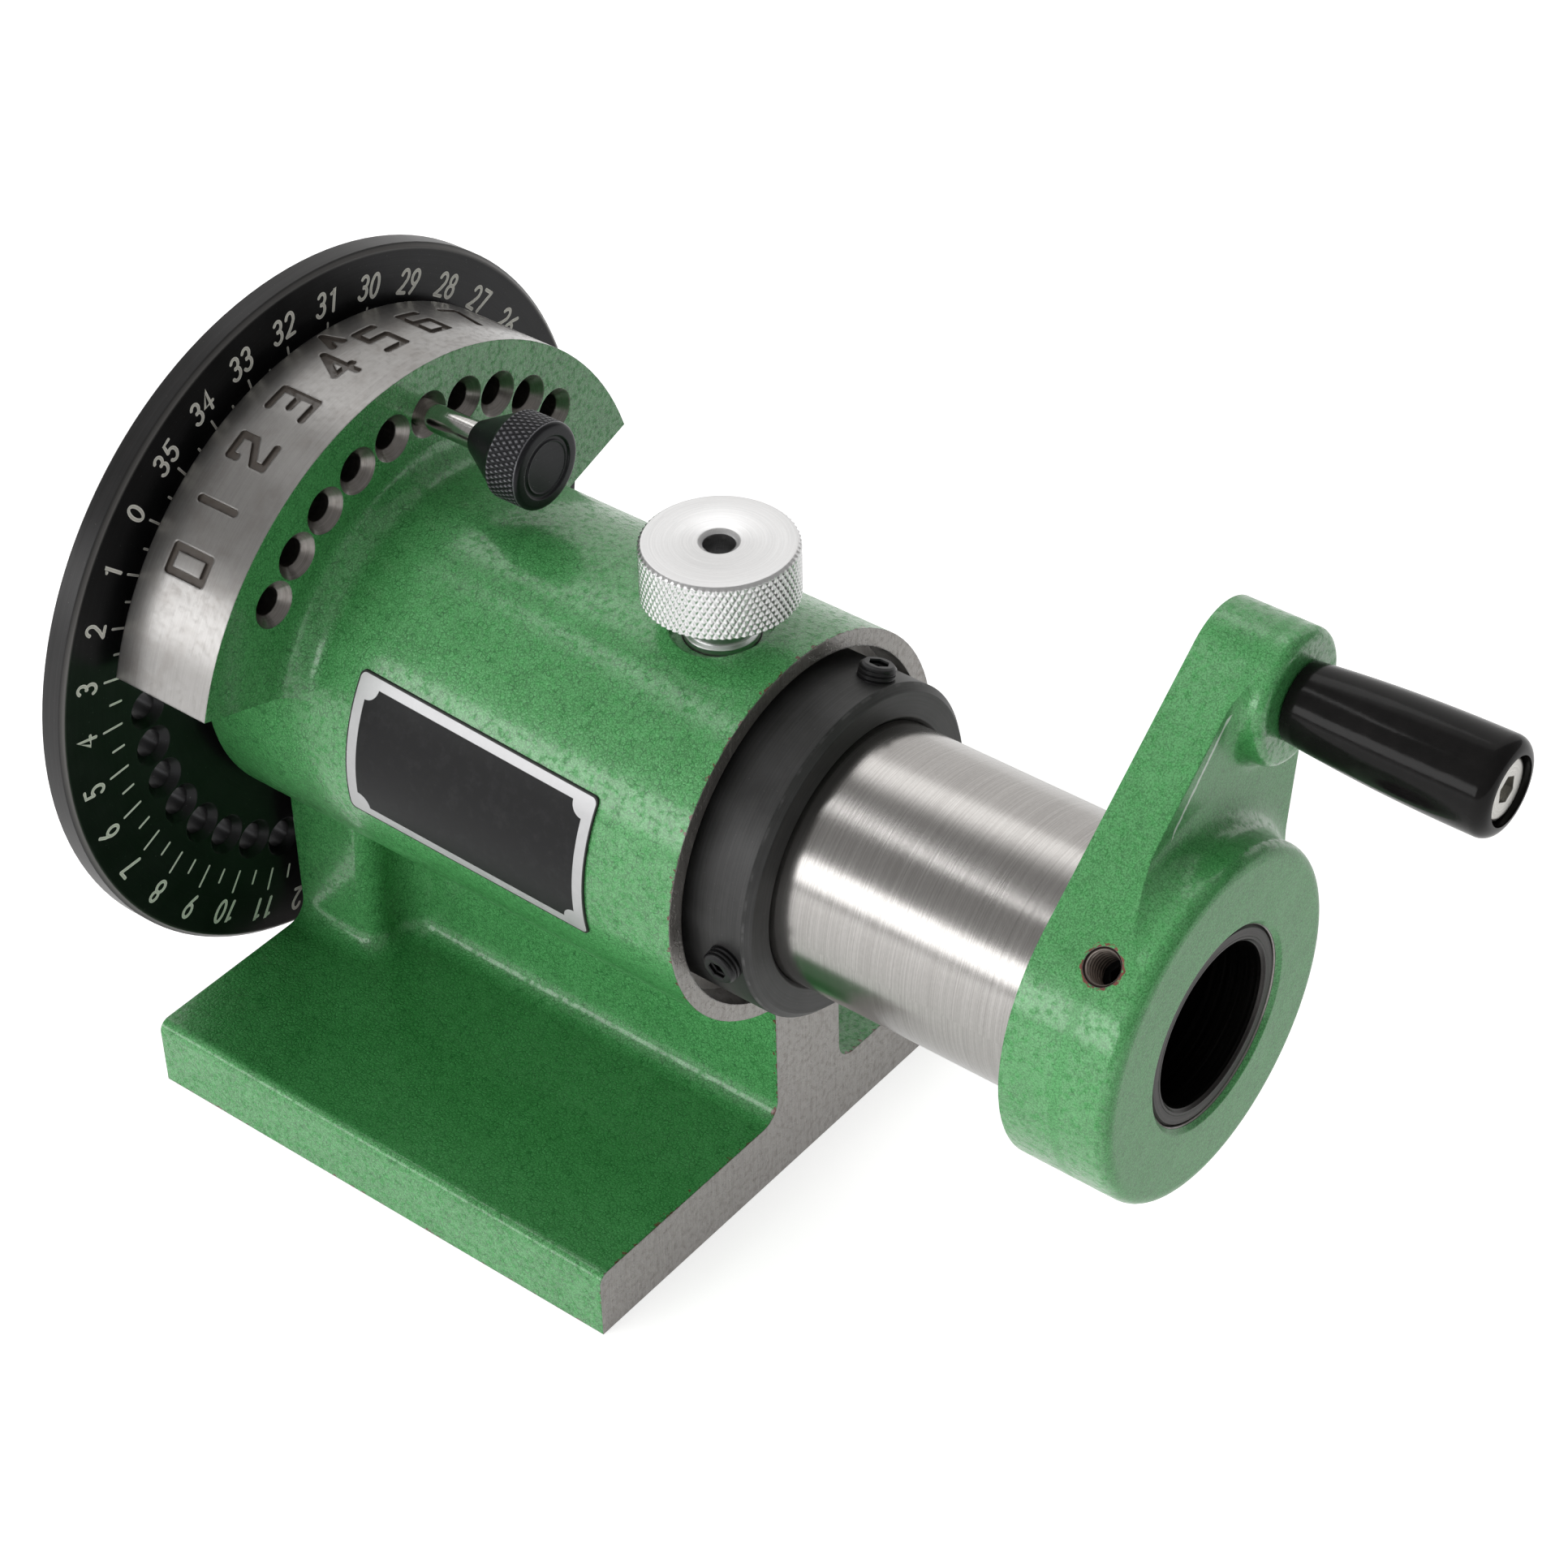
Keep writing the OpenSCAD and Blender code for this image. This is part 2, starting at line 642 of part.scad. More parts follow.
// The arm's outline, seen along the axis: two circles and their outer tangents.
module arm_outline(hub_r, boss_r) {
    lean = asin((hub_r - boss_r) / throw);
    circle(hub_r);
    translate([throw, 0]) circle(boss_r);
    polygon([
        [hub_r * sin(lean), hub_r * cos(lean)],
        [throw + boss_r * sin(lean), boss_r * cos(lean)],
        [throw + boss_r * sin(lean), -boss_r * cos(lean)],
        [hub_r * sin(lean), -hub_r * cos(lean)]
    ]);
}

module crank_arm() {
    hub_r = hub_d / 2;
    boss_r = boss_d / 2;
    bore_r = tube_tail_d / 2 + 0.02;
    bore_edge = 0.9;
    color("seagreen") difference() {
        union() {
            crank_turn() {
                translate([crank_x, 0, 0]) rotate([90, 0, 90]) linear_extrude(arm_t)
                    arm_outline(hub_r, boss_r);
                crank_disc(0, hub_r, hub_l, hub_edge_r);
                crank_disc(throw, boss_r, boss_l, boss_edge_r);
                intersection() {
                    union() {
                        crank_blend(0, hub_r, hub_blend_r);
                        crank_blend(throw, boss_r, boss_blend_r);
                    }
                    translate([crank_x, 0, 0]) rotate([90, 0, 90]) linear_extrude(hub_l)
                        arm_outline(hub_r, boss_r);
                }
            }
        }
        on_axis(crank_x - over) cylinder(h = hub_l + 2 * over, r = bore_r);
        on_axis(hub_end_x - bore_edge)
            cylinder(h = bore_edge + over, r1 = bore_r, r2 = bore_r + bore_edge + over);
        on_spoke(crank_screw_x, hub_screw_a, tube_tail_d / 4)
            cylinder(h = hub_r, r = hub_screw_d / 2);
        crank_turn() translate([crank_x - over, throw, 0]) rotate([0, 90, 0])
            cylinder(h = boss_l + 2 * over, r = axle_d / 2);
    }
}

module crank_set_screw() {
    foot = tube_tail_d / 2 - 0.5;
    screw_l = 6;
    color("dimgray") difference() {
        on_spoke(crank_screw_x, hub_screw_a, foot)
            cylinder(h = screw_l, r = hub_screw_d / 2 - 0.02);
        on_spoke(crank_screw_x, hub_screw_a, foot + screw_l) hex_socket(3, 3);
    }
}

module handle_grip() {
    root_r = grip_root_d / 2;
    end_r = grip_end_d / 2;
    end_round = 2.4;
    head_r = axle_head_d / 2 + 0.35;
    bore_r = axle_d / 2 + running_clear;
    color([0.05, 0.05, 0.05]) crank_turn()
        translate([grip_x, throw, 0]) rotate([0, 90, 0]) difference() {
            union() {
                cylinder(h = grip_l * 0.3, r1 = root_r, r2 = root_r + (end_r - root_r) * 0.55);
                translate([0, 0, grip_l * 0.3])
                    cylinder(h = grip_l * 0.28, r1 = root_r + (end_r - root_r) * 0.55,
                             r2 = root_r + (end_r - root_r) * 0.87);
                translate([0, 0, grip_l * 0.58])
                    cylinder(h = grip_l * 0.42 - end_round,
                             r1 = root_r + (end_r - root_r) * 0.87, r2 = end_r);
                translate([0, 0, grip_l - end_round]) rotate_extrude() {
                    square([end_r - end_round, end_round]);
                    intersection() {
                        translate([end_r - end_round, 0]) circle(end_round);
                        square([end_r, end_round]);
                    }
                }
            }
            translate([0, 0, -over]) cylinder(h = grip_l + 2 * over, r = bore_r);
            translate([0, 0, grip_l - axle_head_t - 0.8])
                cylinder(h = axle_head_t + 2, r = head_r);
        }
}

module handle_axle() {
    head_r = axle_head_d / 2;
    edge = 0.9;
    shank_l = grip_end_x - axle_head_t - 0.6 - crank_x - 1;
    color("silver") crank_turn()
        translate([crank_x + 1, throw, 0]) rotate([0, 90, 0]) difference() {
            union() {
                cylinder(h = shank_l + 1, r = axle_d / 2 - 0.02);
                translate([0, 0, shank_l]) rotate_extrude() {
                    square([head_r - edge, axle_head_t - 0.2]);
                    square([head_r, axle_head_t - 0.2 - edge]);
                    intersection() {
                        translate([head_r - edge, axle_head_t - 0.2 - edge]) circle(edge);
                        square([head_r, axle_head_t]);
                    }
                }
            }
            translate([0, 0, shank_l + axle_head_t - 0.2]) hex_socket(4, 2.4);
        }
}

module index_pin() {
    tip_x = plate_back_x + pin_tip_gap;
    knob_x = sector_x + pin_out;
    edge = pin_r / 4;
    color("silver") beside_axis(tip_x, pin_a, hole_circle_d / 2) {
        cylinder(h = edge, r1 = pin_r - edge, r2 = pin_r);
        translate([0, 0, edge]) cylinder(h = knob_x - tip_x + pin_sink - edge, r = pin_r);
    }
}

module pin_knob() {
    knob_r = pin_knob_d / 2;
    neck_r = pin_r + 0.5;
    cone_l = pin_knob_l * 0.54;
    edge = 0.9;
    color([0.08, 0.08, 0.09])
        beside_axis(sector_x + pin_out, pin_a, hole_circle_d / 2) difference() {
            union() {
                cylinder(h = cone_l, r1 = neck_r, r2 = knob_r - 0.3);
                translate([0, 0, cone_l]) cylinder(h = 0.4, r1 = knob_r - 0.3, r2 = knob_r);
                translate([0, 0, cone_l + 0.4]) rotate_extrude() {
                    square([knob_r - edge, pin_knob_l - cone_l - 0.4]);
                    square([knob_r, pin_knob_l - cone_l - 0.4 - edge]);
                    intersection() {
                        translate([knob_r - edge, pin_knob_l - cone_l - 0.4 - edge])
                            circle(edge);
                        square([knob_r, pin_knob_l]);
                    }
                }
            }
            translate([0, 0, -over]) cylinder(h = pin_sink + 2 * over, r = pin_r + 0.01);
            translate([0, 0, pin_knob_l - 0.8]) difference() {
                cylinder(h = 2, r = 5.3);
                cylinder(h = 0.5, r = 4.6);
            }
        }
}

// The lock's parts stand on one upright axis, measured from the spindle's crown.
module on_lock(z) {
    translate([lock_x, 0, centre_h + z]) children();
}

module lock_knob() {
    knob_r = lock_knob_d / 2;
    edge = 0.4;
    hollow_r = 2.8;
    foot = barrel_r - lock_sink_h;
    head = barrel_r + lock_neck_h;
    color([0.85, 0.85, 0.86]) difference() {
        union() {
            on_lock(foot) cylinder(h = head - foot + 1, r = lock_neck_d / 2);
            on_lock(head) cylinder(h = edge, r1 = knob_r - edge, r2 = knob_r);
            on_lock(head + edge) cylinder(h = lock_knob_h - 2 * edge, r = knob_r);
            on_lock(head + lock_knob_h - edge)
                cylinder(h = edge, r1 = knob_r, r2 = knob_r - edge);
        }
        on_lock(foot - over)
            cylinder(h = head + lock_knob_h / 8 - foot + over, r = lock_screw_d / 2 - 0.05);
        on_lock(head + lock_knob_h / 4) cylinder(h = lock_knob_h, r = hollow_r);
        on_lock(head + lock_knob_h - 0.7)
            cylinder(h = 0.7 + over, r1 = hollow_r, r2 = hollow_r + 0.7 + over);
    }
}

lock_plug_l = 4;
module lock_screw() {
    foot = spindle_r + lock_gap + lock_plug_l;
    color("gray") on_lock(foot)
        cylinder(h = barrel_r + lock_neck_h - foot, r = lock_screw_d / 2 - 0.06);
}

module lock_plug() {
    color("gold") on_lock(spindle_r + lock_gap)
        cylinder(h = lock_plug_l, r = lock_screw_d / 2 - 0.1);
}

body_casting();
name_plate();
spindle();
collet_key();
index_plate();
for (i = [1 : 4]) plate_screw(i);
thrust_collar();
for (i = [1 : 3]) collar_screw(i);
draw_tube();
crank_arm();
crank_set_screw();
handle_grip();
handle_axle();
index_pin();
pin_knob();
lock_knob();
lock_screw();
lock_plug();
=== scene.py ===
# %% [markdown]
# # Dressing a spin index jig
# A spin index jig holds a collet in a hollow spindle and turns it by known angles. The solids
# come from the CAD part, already in metres and already in place. This script gives each of them
# the finish that it has in the workshop, and adds what is too fine for the solids: knurls,
# threads, and the filled figures of the index plate.
#
# Every step is a pair of cells. The first says what the piece is and how it could be made, and
# the second makes it.

# %% Load the solids
import json
import math

import bpy
import numpy as np
from mathutils import Matrix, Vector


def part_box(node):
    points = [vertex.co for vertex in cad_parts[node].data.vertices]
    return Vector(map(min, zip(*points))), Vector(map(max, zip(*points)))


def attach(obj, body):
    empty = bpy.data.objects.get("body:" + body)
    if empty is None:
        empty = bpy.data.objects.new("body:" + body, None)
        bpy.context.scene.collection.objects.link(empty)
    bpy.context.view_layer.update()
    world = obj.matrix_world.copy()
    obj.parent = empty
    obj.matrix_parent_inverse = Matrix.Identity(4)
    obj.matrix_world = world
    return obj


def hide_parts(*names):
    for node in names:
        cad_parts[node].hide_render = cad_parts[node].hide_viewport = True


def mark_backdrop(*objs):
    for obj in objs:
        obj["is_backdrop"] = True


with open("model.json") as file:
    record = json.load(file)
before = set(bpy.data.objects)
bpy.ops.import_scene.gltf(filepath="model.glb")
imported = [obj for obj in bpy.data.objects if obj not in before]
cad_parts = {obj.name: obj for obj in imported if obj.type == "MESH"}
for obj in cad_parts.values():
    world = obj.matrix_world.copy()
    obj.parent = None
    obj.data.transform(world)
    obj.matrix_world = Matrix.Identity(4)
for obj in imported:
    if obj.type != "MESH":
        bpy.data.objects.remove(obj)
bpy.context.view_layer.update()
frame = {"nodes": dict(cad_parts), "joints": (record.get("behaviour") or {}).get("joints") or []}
nodes = frame["nodes"]
joints = {joint["name"]: joint for joint in frame["joints"]}
MM = 0.001
print("solids:", len(nodes))

# %% [markdown]
# The new pieces have to sit on the solids, so their places are read off the solids' boxes and off
# the joints, in millimetres: if the CAD part changes, the figures on the index plate move with
# it. A box can't give a size that lies inside a solid, such as the sector's radius, so the few
# sizes of that kind are typed again where a finish needs them.

# %% Measure the solids
def span(node, axis):
    """The lowest and the highest coordinate of a solid along an axis, in millimetres."""
    low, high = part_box(node)
    return low[axis] / MM, high[axis] / MM


centre_z = joints["spindle_turn"]["pos_m"][2] / MM
base_left, base_right = span("body_casting", 0)
plate_front, plate_back = span("index_plate", 0)
plate_r = span("index_plate", 1)[1]
collar_front = span("thrust_collar", 0)[1]
crank_front, hub_back = span("crank_arm", 0)
grip_start, grip_end = span("handle_grip", 0)
grip_y = joints["grip_spin"]["pos_m"][1] / MM
grip_z = joints["grip_spin"]["pos_m"][2] / MM
knob_foot, knob_top = span("lock_knob", 2)
lock_x = joints["lock_turn"]["pos_m"][0] / MM
pin_knob_start, pin_knob_end = span("pin_knob", 0)
pin_y = sum(span("pin_knob", 1)) / 2
pin_z = sum(span("pin_knob", 2)) / 2
print("centre height", round(centre_z, 2), "index plate from", round(plate_front, 2), "to",
      round(plate_back, 2), "radius", round(plate_r, 2))

# %% [markdown]
# The camera comes first, because everything after it is judged through it. Its place and its
# lens were worked out together from the ellipses that the round parts make in the picture. It is
# given by its place, its own right and up directions in the jig's frame, and its lens.

# %% Camera
def camera_at(place_mm, right, up, lens):
    """A camera whose axes are given as unit vectors. Backward is right crossed with up."""
    right, up = np.array(right), np.array(up)
    right = right / np.linalg.norm(right)
    up = up - right * np.dot(right, up)
    up = up / np.linalg.norm(up)
    axes = np.eye(4)
    axes[:3, 0], axes[:3, 1], axes[:3, 2] = right, up, np.cross(right, up)
    axes[:3, 3] = np.array(place_mm) * MM
    data = bpy.data.cameras.new("view")
    data.lens, data.sensor_width, data.sensor_fit = lens, 36.0, "HORIZONTAL"
    data.clip_start, data.clip_end = 0.01, 50.0
    made = bpy.data.objects.new("view", data)
    bpy.context.scene.collection.objects.link(made)
    made.matrix_world = Matrix(axes.tolist())
    return made


image_px = 1932
focal_px = 4701.8
camera = camera_at((337.55, -362.07, 455.13), (0.78652, 0.61734, -0.01648),
                   (-0.37944, 0.50414, 0.77581), 36.0 * focal_px / image_px)
bpy.context.scene.camera = camera
bpy.context.scene.view_settings.view_transform = "Standard"
print("lens", round(camera.data.lens, 2), "mm")

# %% [markdown]
# A finish is a graph of shader nodes, and most of the graph is arithmetic: how far a point lies
# from an axis, whether it is inside a mask. Written as nodes that is long and hard to read, so
# the class below wraps a socket, and each sum on it adds one Math node.

# %% Shader arithmetic
class Field:
    """A number that varies over a surface: a socket that sums and products can be made with."""

    def __init__(self, finish, socket):
        self.finish, self.socket = finish, socket

    def math(self, operation, *others):
        terms = dict(enumerate((self,) + others))
        return self.finish.node("ShaderNodeMath", {"operation": operation}, terms)

    def __add__(self, other):
        return self.math("ADD", other)

    def __sub__(self, other):
        return self.math("SUBTRACT", other)

    def __mul__(self, other):
        return self.math("MULTIPLY", other)

    def __truediv__(self, other):
        return self.math("DIVIDE", other)

    def __rsub__(self, other):
        return (self * -1.0) + other

    def __abs__(self):
        return self.math("ABSOLUTE")

    __radd__, __rmul__ = __add__, __mul__

    def above(self, low, high):
        """0 below low, 1 above high, and a smooth step between them."""
        return self.finish.node("ShaderNodeMapRange", {"interpolation_type": "SMOOTHSTEP"},
                                {"Value": self, "From Min": low, "From Max": high})

    def below(self, low, high):
        """1 below low, 0 above high, and a smooth step between them."""
        return 1.0 - self.above(low, high)

    def least(self, other):
        return self.math("MINIMUM", other)

    def most(self, other):
        return self.math("MAXIMUM", other)

    def sine(self):
        return self.math("SINE")

    def wrapped(self, step):
        """The distance to the nearest whole multiple of step, signed."""
        return self - (self / step).math("ROUND") * step


print("fields can be added, multiplied and stepped")

# %% [markdown]
# The second class is the material itself. It holds the principled shader and the object's own
# coordinates, and every pattern that the finishes share: noise, cells, two kinds of mixing, a
# bump, and normals that turn round sharp edges.

# %% Materials
class Finish:
    """A material whose coordinates are in millimetres in the jig's frame."""

    def __init__(self, name, colour, roughness, metallic=0.0, **fixed):
        self.material = bpy.data.materials.new(name)
        self.material.use_nodes = True
        self.material.node_tree.nodes.clear()
        self.shader = self.material.node_tree.nodes.new("ShaderNodeBsdfPrincipled")
        output = self.material.node_tree.nodes.new("ShaderNodeOutputMaterial")
        self.material.node_tree.links.new(self.shader.outputs[0], output.inputs[0])
        self.material.diffuse_color = (*colour, 1.0)
        self.give("Base Color", (*colour, 1.0))
        self.give("Roughness", roughness)
        self.give("Metallic", metallic)
        for name, value in fixed.items():
            self.give(name.replace("_", " ").title().replace("Ior", "IOR"), value)
        metres = self.node("ShaderNodeTexCoord", output="Object")
        self.place = self.node("ShaderNodeVectorMath", {"operation": "SCALE"},
                               {0: metres, "Scale": 1000.0})
        self.x, self.y, self.z = self.split(self.place)

    def node(self, kind, settings=None, inputs=None, output=0):
        """One node: its settings first, then the values or links of its sockets."""
        made = self.material.node_tree.nodes.new(kind)
        for key, value in (settings or {}).items():
            setattr(made, key, value)
        for key, value in (inputs or {}).items():
            self.plug(made.inputs[key], value)
        return Field(self, made.outputs[output])

    def plug(self, socket, value):
        if isinstance(value, Field):
            self.material.node_tree.links.new(value.socket, socket)
        else:
            socket.default_value = value

    def give(self, name, value):
        self.plug(self.shader.inputs[name], value)

    def split(self, vector):
        made = self.node("ShaderNodeSeparateXYZ", inputs={0: vector}).socket.node
        return [Field(self, socket) for socket in made.outputs]

    def vector(self, x, y, z):
        return self.node("ShaderNodeCombineXYZ", inputs={0: x, 1: y, 2: z})

    def noise(self, size, at=None, detail=2.0, roughness=0.5):
        """Cloudy noise around 0.5 whose blobs are about size millimetres across."""
        return self.node("ShaderNodeTexNoise", inputs={
            "Vector": at or self.place, "Scale": 1.0 / size, "Detail": detail,
            "Roughness": roughness})

    def cells(self, size, at=None, feature="F1"):
        """The distance to the nearest seed, with seeds about size millimetres apart."""
        return self.node("ShaderNodeTexVoronoi", {"feature": feature}, {
            "Vector": at or self.place, "Scale": 1.0 / size})

    def mix(self, factor, first, second):
        """The first colour where factor is 0 and the second where it is 1."""
        made = self.node("ShaderNodeMix", {"data_type": "RGBA"}).socket.node
        for key, value in ((0, factor), (6, first), (7, second)):
            value = value if isinstance(value, (Field, float)) else (*value, 1.0)
            self.plug(made.inputs[key], value)
        return Field(self, made.outputs[2])

    def blend(self, factor, first, second):
        """The first number where factor is 0 and the second where it is 1."""
        return self.node("ShaderNodeMix", inputs={"Factor": factor, "A": first, "B": second})

    def bump(self, height, depth_mm, under=None, strength=1.0):
        """A normal tilted by a height map whose full range is depth_mm."""
        inputs = {"Height": height, "Distance": depth_mm * MM, "Strength": strength}
        if under is not None:
            inputs["Normal"] = under
        return self.node("ShaderNodeBump", inputs=inputs)

    def soft_edges(self, radius_mm):
        """Normals that turn round every sharp edge, as an edge with a small radius has."""
        return self.node("ShaderNodeBevel", {"samples": 6}, {"Radius": radius_mm * MM})

    def from_axis(self, y=0.0, z=None):
        """Distance from a line that runs along X."""
        across = self.y - y
        height = self.z - (centre_z if z is None else z)
        return (across * across + height * height).math("SQRT")

    def dress(self, *names):
        """Puts the finish on solids, and says so."""
        for name in names:
            for place in nodes[name].material_slots:
                place.material = self.material
        print("finish", self.material.name, "on", len(names), "solids")


print("finishes use millimetres in the jig's frame")

# %% [markdown]
# The jig stands on a white table, a plain disc that keeps the jig's shadow. A matt white alone
# would look grey beside the white background, so the table also glows: most to the camera, less
# in the mirror of polished metal, and hardly at all as a light.

# %% Table
def table_disc(radius, segments=96):
    """A flat disc at z = 0: the rim is (r cos t, r sin t) for t round the circle."""
    turn = np.linspace(0.0, 2.0 * np.pi, segments, endpoint=False)
    rim = np.stack([radius * np.cos(turn), radius * np.sin(turn), 0.0 * turn], axis=1)
    mesh = bpy.data.meshes.new("table")
    mesh.from_pydata(rim.tolist(), [], [list(range(segments))])
    made = bpy.data.objects.new("table", mesh)
    bpy.context.scene.collection.objects.link(made)
    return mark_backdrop(made) or made


def tree_of(owner):
    """The emptied node tree of a material or a world."""
    owner.use_nodes = True
    owner.node_tree.nodes.clear()
    return owner.node_tree


table = table_disc(4.0)
table_paint = bpy.data.materials.new("table_white")
tree = tree_of(table_paint)
matt = tree.nodes.new("ShaderNodeBsdfDiffuse")
matt.inputs[0].default_value = (0.80, 0.80, 0.80, 1.0)
glow = tree.nodes.new("ShaderNodeEmission")
rays = tree.nodes.new("ShaderNodeLightPath")
share = tree.nodes.new("ShaderNodeMath")
share.operation = "MULTIPLY_ADD"
tree.links.new(rays.outputs["Is Camera Ray"], share.inputs[0])
share.inputs[1].default_value, share.inputs[2].default_value = 0.55, 0.12
mirrored = tree.nodes.new("ShaderNodeMath")
mirrored.operation = "MULTIPLY_ADD"
tree.links.new(rays.outputs["Is Glossy Ray"], mirrored.inputs[0])
mirrored.inputs[1].default_value = 0.30
tree.links.new(share.outputs[0], mirrored.inputs[2])
tree.links.new(mirrored.outputs[0], glow.inputs["Strength"])
both = tree.nodes.new("ShaderNodeAddShader")
tree.links.new(matt.outputs[0], both.inputs[0])
tree.links.new(glow.outputs[0], both.inputs[1])
tree.links.new(both.outputs[0], tree.nodes.new("ShaderNodeOutputMaterial").inputs[0])
table.data.materials.append(table_paint)
print("table is", round(table.dimensions.x, 1), "m across")

# %% [markdown]
# The tent is the world. The camera and glass see it plain white. Reflections see a backdrop that
# is pale on the far side only, which gives polished metal its dark and pale bands. Matt surfaces
# are lit by two walls, one in front and one behind. Each wall is a direction, the cosines of the
# two angles between which it fades, and its weakest and strongest light.

# %% Tent
world = bpy.data.worlds.new("tent")
bpy.context.scene.world = world
tree = tree_of(world)
rays = tree.nodes.new("ShaderNodeLightPath")
place = tree.nodes.new("ShaderNodeTexCoord")


def side_light(azimuth, elevation, near, far, least, most):
    """A strength that is most towards one direction and least away from it. near and far are
    the cosines of the angles at which it has fully changed."""
    a, e = math.radians(azimuth), math.radians(elevation)
    turn = tree.nodes.new("ShaderNodeVectorMath")
    turn.operation = "DOT_PRODUCT"
    tree.links.new(place.outputs["Generated"], turn.inputs[0])
    turn.inputs[1].default_value = (math.cos(e) * math.cos(a), math.cos(e) * math.sin(a),
                                    math.sin(e))
    fall = tree.nodes.new("ShaderNodeMapRange")
    fall.interpolation_type = "SMOOTHSTEP"
    for name, value in (("From Min", far), ("From Max", near), ("To Min", least),
                        ("To Max", most)):
        fall.inputs[name].default_value = value
    tree.links.new(turn.outputs["Value"], fall.inputs["Value"])
    return fall.outputs[0]


backdrop = side_light(126.0, 21.0, 0.76, 0.64, 0.30, 0.85)
front_wall = side_light(-112.0, 5.0, 0.96, 0.42, 0.18, 1.75)
back_wall = side_light(130.0, 42.0, 0.98, 0.35, 0.0, 0.75)
walls = tree.nodes.new("ShaderNodeMath")
tree.links.new(front_wall, walls.inputs[0])
tree.links.new(back_wall, walls.inputs[1])


def background(strength):
    """A warm white whose strength is a number or a link."""
    made = tree.nodes.new("ShaderNodeBackground")
    made.inputs["Color"].default_value = (1.0, 0.99, 0.975, 1.0)
    if isinstance(strength, float):
        made.inputs["Strength"].default_value = strength
    else:
        tree.links.new(strength, made.inputs["Strength"])
    return made.outputs[0]


def choose(factor, no, yes):
    """The first shader where the factor is 0 and the second where it is 1."""
    made = tree.nodes.new("ShaderNodeMixShader")
    for socket, link in zip(made.inputs, (factor, no, yes)):
        tree.links.new(link, socket)
    return made.outputs[0]


seen = choose(rays.outputs["Is Glossy Ray"], background(walls.outputs[0]), background(backdrop))
seen = choose(rays.outputs["Is Transmission Ray"], seen, background(1.0))
seen = choose(rays.outputs["Is Camera Ray"], seen, background(1.0))
tree.links.new(seen, tree.nodes.new("ShaderNodeOutputWorld").inputs[0])
print("tent with", len(tree.nodes), "nodes")

# %% [markdown]
# Three lamps stand where the streaks on the ground spindle say that they stood: a long low one in
# front, a short one high behind, and a narrow one above. A cylinder mirrors a lamp where its
# normal lies half-way between the lamp and the camera, so each streak's angle gives a lamp's.
# Their powers were set by comparing pictures of the model with the real jig's.

# %% Lamps
def lamp(name, azimuth, elevation, distance, width, height, watts):
    """An area lamp that faces the jig's middle from an azimuth and an elevation in degrees."""
    a, e = math.radians(azimuth), math.radians(elevation)
    back = np.array([math.cos(e) * math.cos(a), math.cos(e) * math.sin(a), math.sin(e)])
    side = np.cross([0.0, 0.0, 1.0], back)
    side = side / np.linalg.norm(side)
    axes = np.eye(4)
    axes[:3, 0], axes[:3, 1], axes[:3, 2] = side, np.cross(back, side), back
    axes[:3, 3] = np.array([0.03, 0.0, 0.06]) + back * distance
    data = bpy.data.lights.new(name, "AREA")
    data.shape, data.size, data.size_y, data.energy = "RECTANGLE", width, height, watts
    made = bpy.data.objects.new(name, data)
    bpy.context.scene.collection.objects.link(made)
    made.matrix_world = Matrix(axes.tolist())
    return made


lamp("low_front_lamp", -112.0, 15.0, 1.1, 1.1, 0.36, 3.4)
lamp("high_back_lamp", 140.0, 54.0, 1.1, 0.55, 0.26, 0.42)
lamp("narrow_top_lamp", -151.0, 59.0, 1.1, 0.5, 0.07, 0.32)
print("3 lamps")

# %% [markdown]
# The casting is painted with a hammered enamel. As it dries, it pulls itself into small flat
# cells a little under a millimetre across, with thin dark lines where they meet, and pale and
# dark grains of pigment float up between them. Four layers give that: a colour of fine grains, a
# darker colour in the lines, a low bump of cells over a slower wave for the skin of the casting,
# and a clear coat that comes and goes, which breaks every reflection into ragged patches.
# The cells could be an image, but a Voronoi pattern in space has no seams and needs no
# unwrapping.

# %% Hammered enamel
CELL_MM = 0.82
GREEN_DARK = (0.012, 0.105, 0.024)
GREEN = (0.040, 0.225, 0.056)
GREEN_PALE = (0.110, 0.430, 0.142)


def enamel(finish, line_share, lift):
    """Returns the colour, roughness, height and clear coat of hammered enamel as fields. line_share
    says how plainly the cells' edges are seen, and lift how pale the enamel is: pale pigment, and
    on the crank also a little painted light."""
    bend = finish.node("ShaderNodeTexNoise", inputs={
        "Vector": finish.place, "Scale": 0.6, "Detail": 3.0}, output="Color")
    moved = finish.node("ShaderNodeVectorMath", {"operation": "MULTIPLY_ADD"}, {
        0: bend, 1: (0.9, 0.9, 0.9), 2: finish.place})
    gap = finish.cells(CELL_MM, moved, "DISTANCE_TO_EDGE")
    grain = finish.noise(0.24, detail=2.0, roughness=0.6)
    cloud = finish.noise(9.0, detail=3.0)
    tone = (grain - 0.5) * 2.1 + cloud * 0.35 + finish.noise(2.2) * 0.20 + lift
    colour = finish.mix(tone.above(0.15, 0.85), GREEN, GREEN_PALE)
    drawn = finish.noise(1.7, detail=3.0).above(0.36, 0.66) * line_share + line_share * 0.2
    colour = finish.mix(gap.below(0.010, 0.110) * drawn, colour, GREEN_DARK)
    skin = finish.noise(1.6, detail=4.0, roughness=0.6) * 0.48 + finish.noise(6.0) * 0.9
    height = gap.above(0.0, 0.30) * 0.34 * line_share + grain * 0.05 + skin
    roughness = grain * 0.24 + 0.24
    coat = finish.noise(1.1, detail=3.0).above(0.32, 0.56) * 0.62 + 0.12
    return colour, roughness, height, coat


print("enamel cells are", CELL_MM, "mm across")
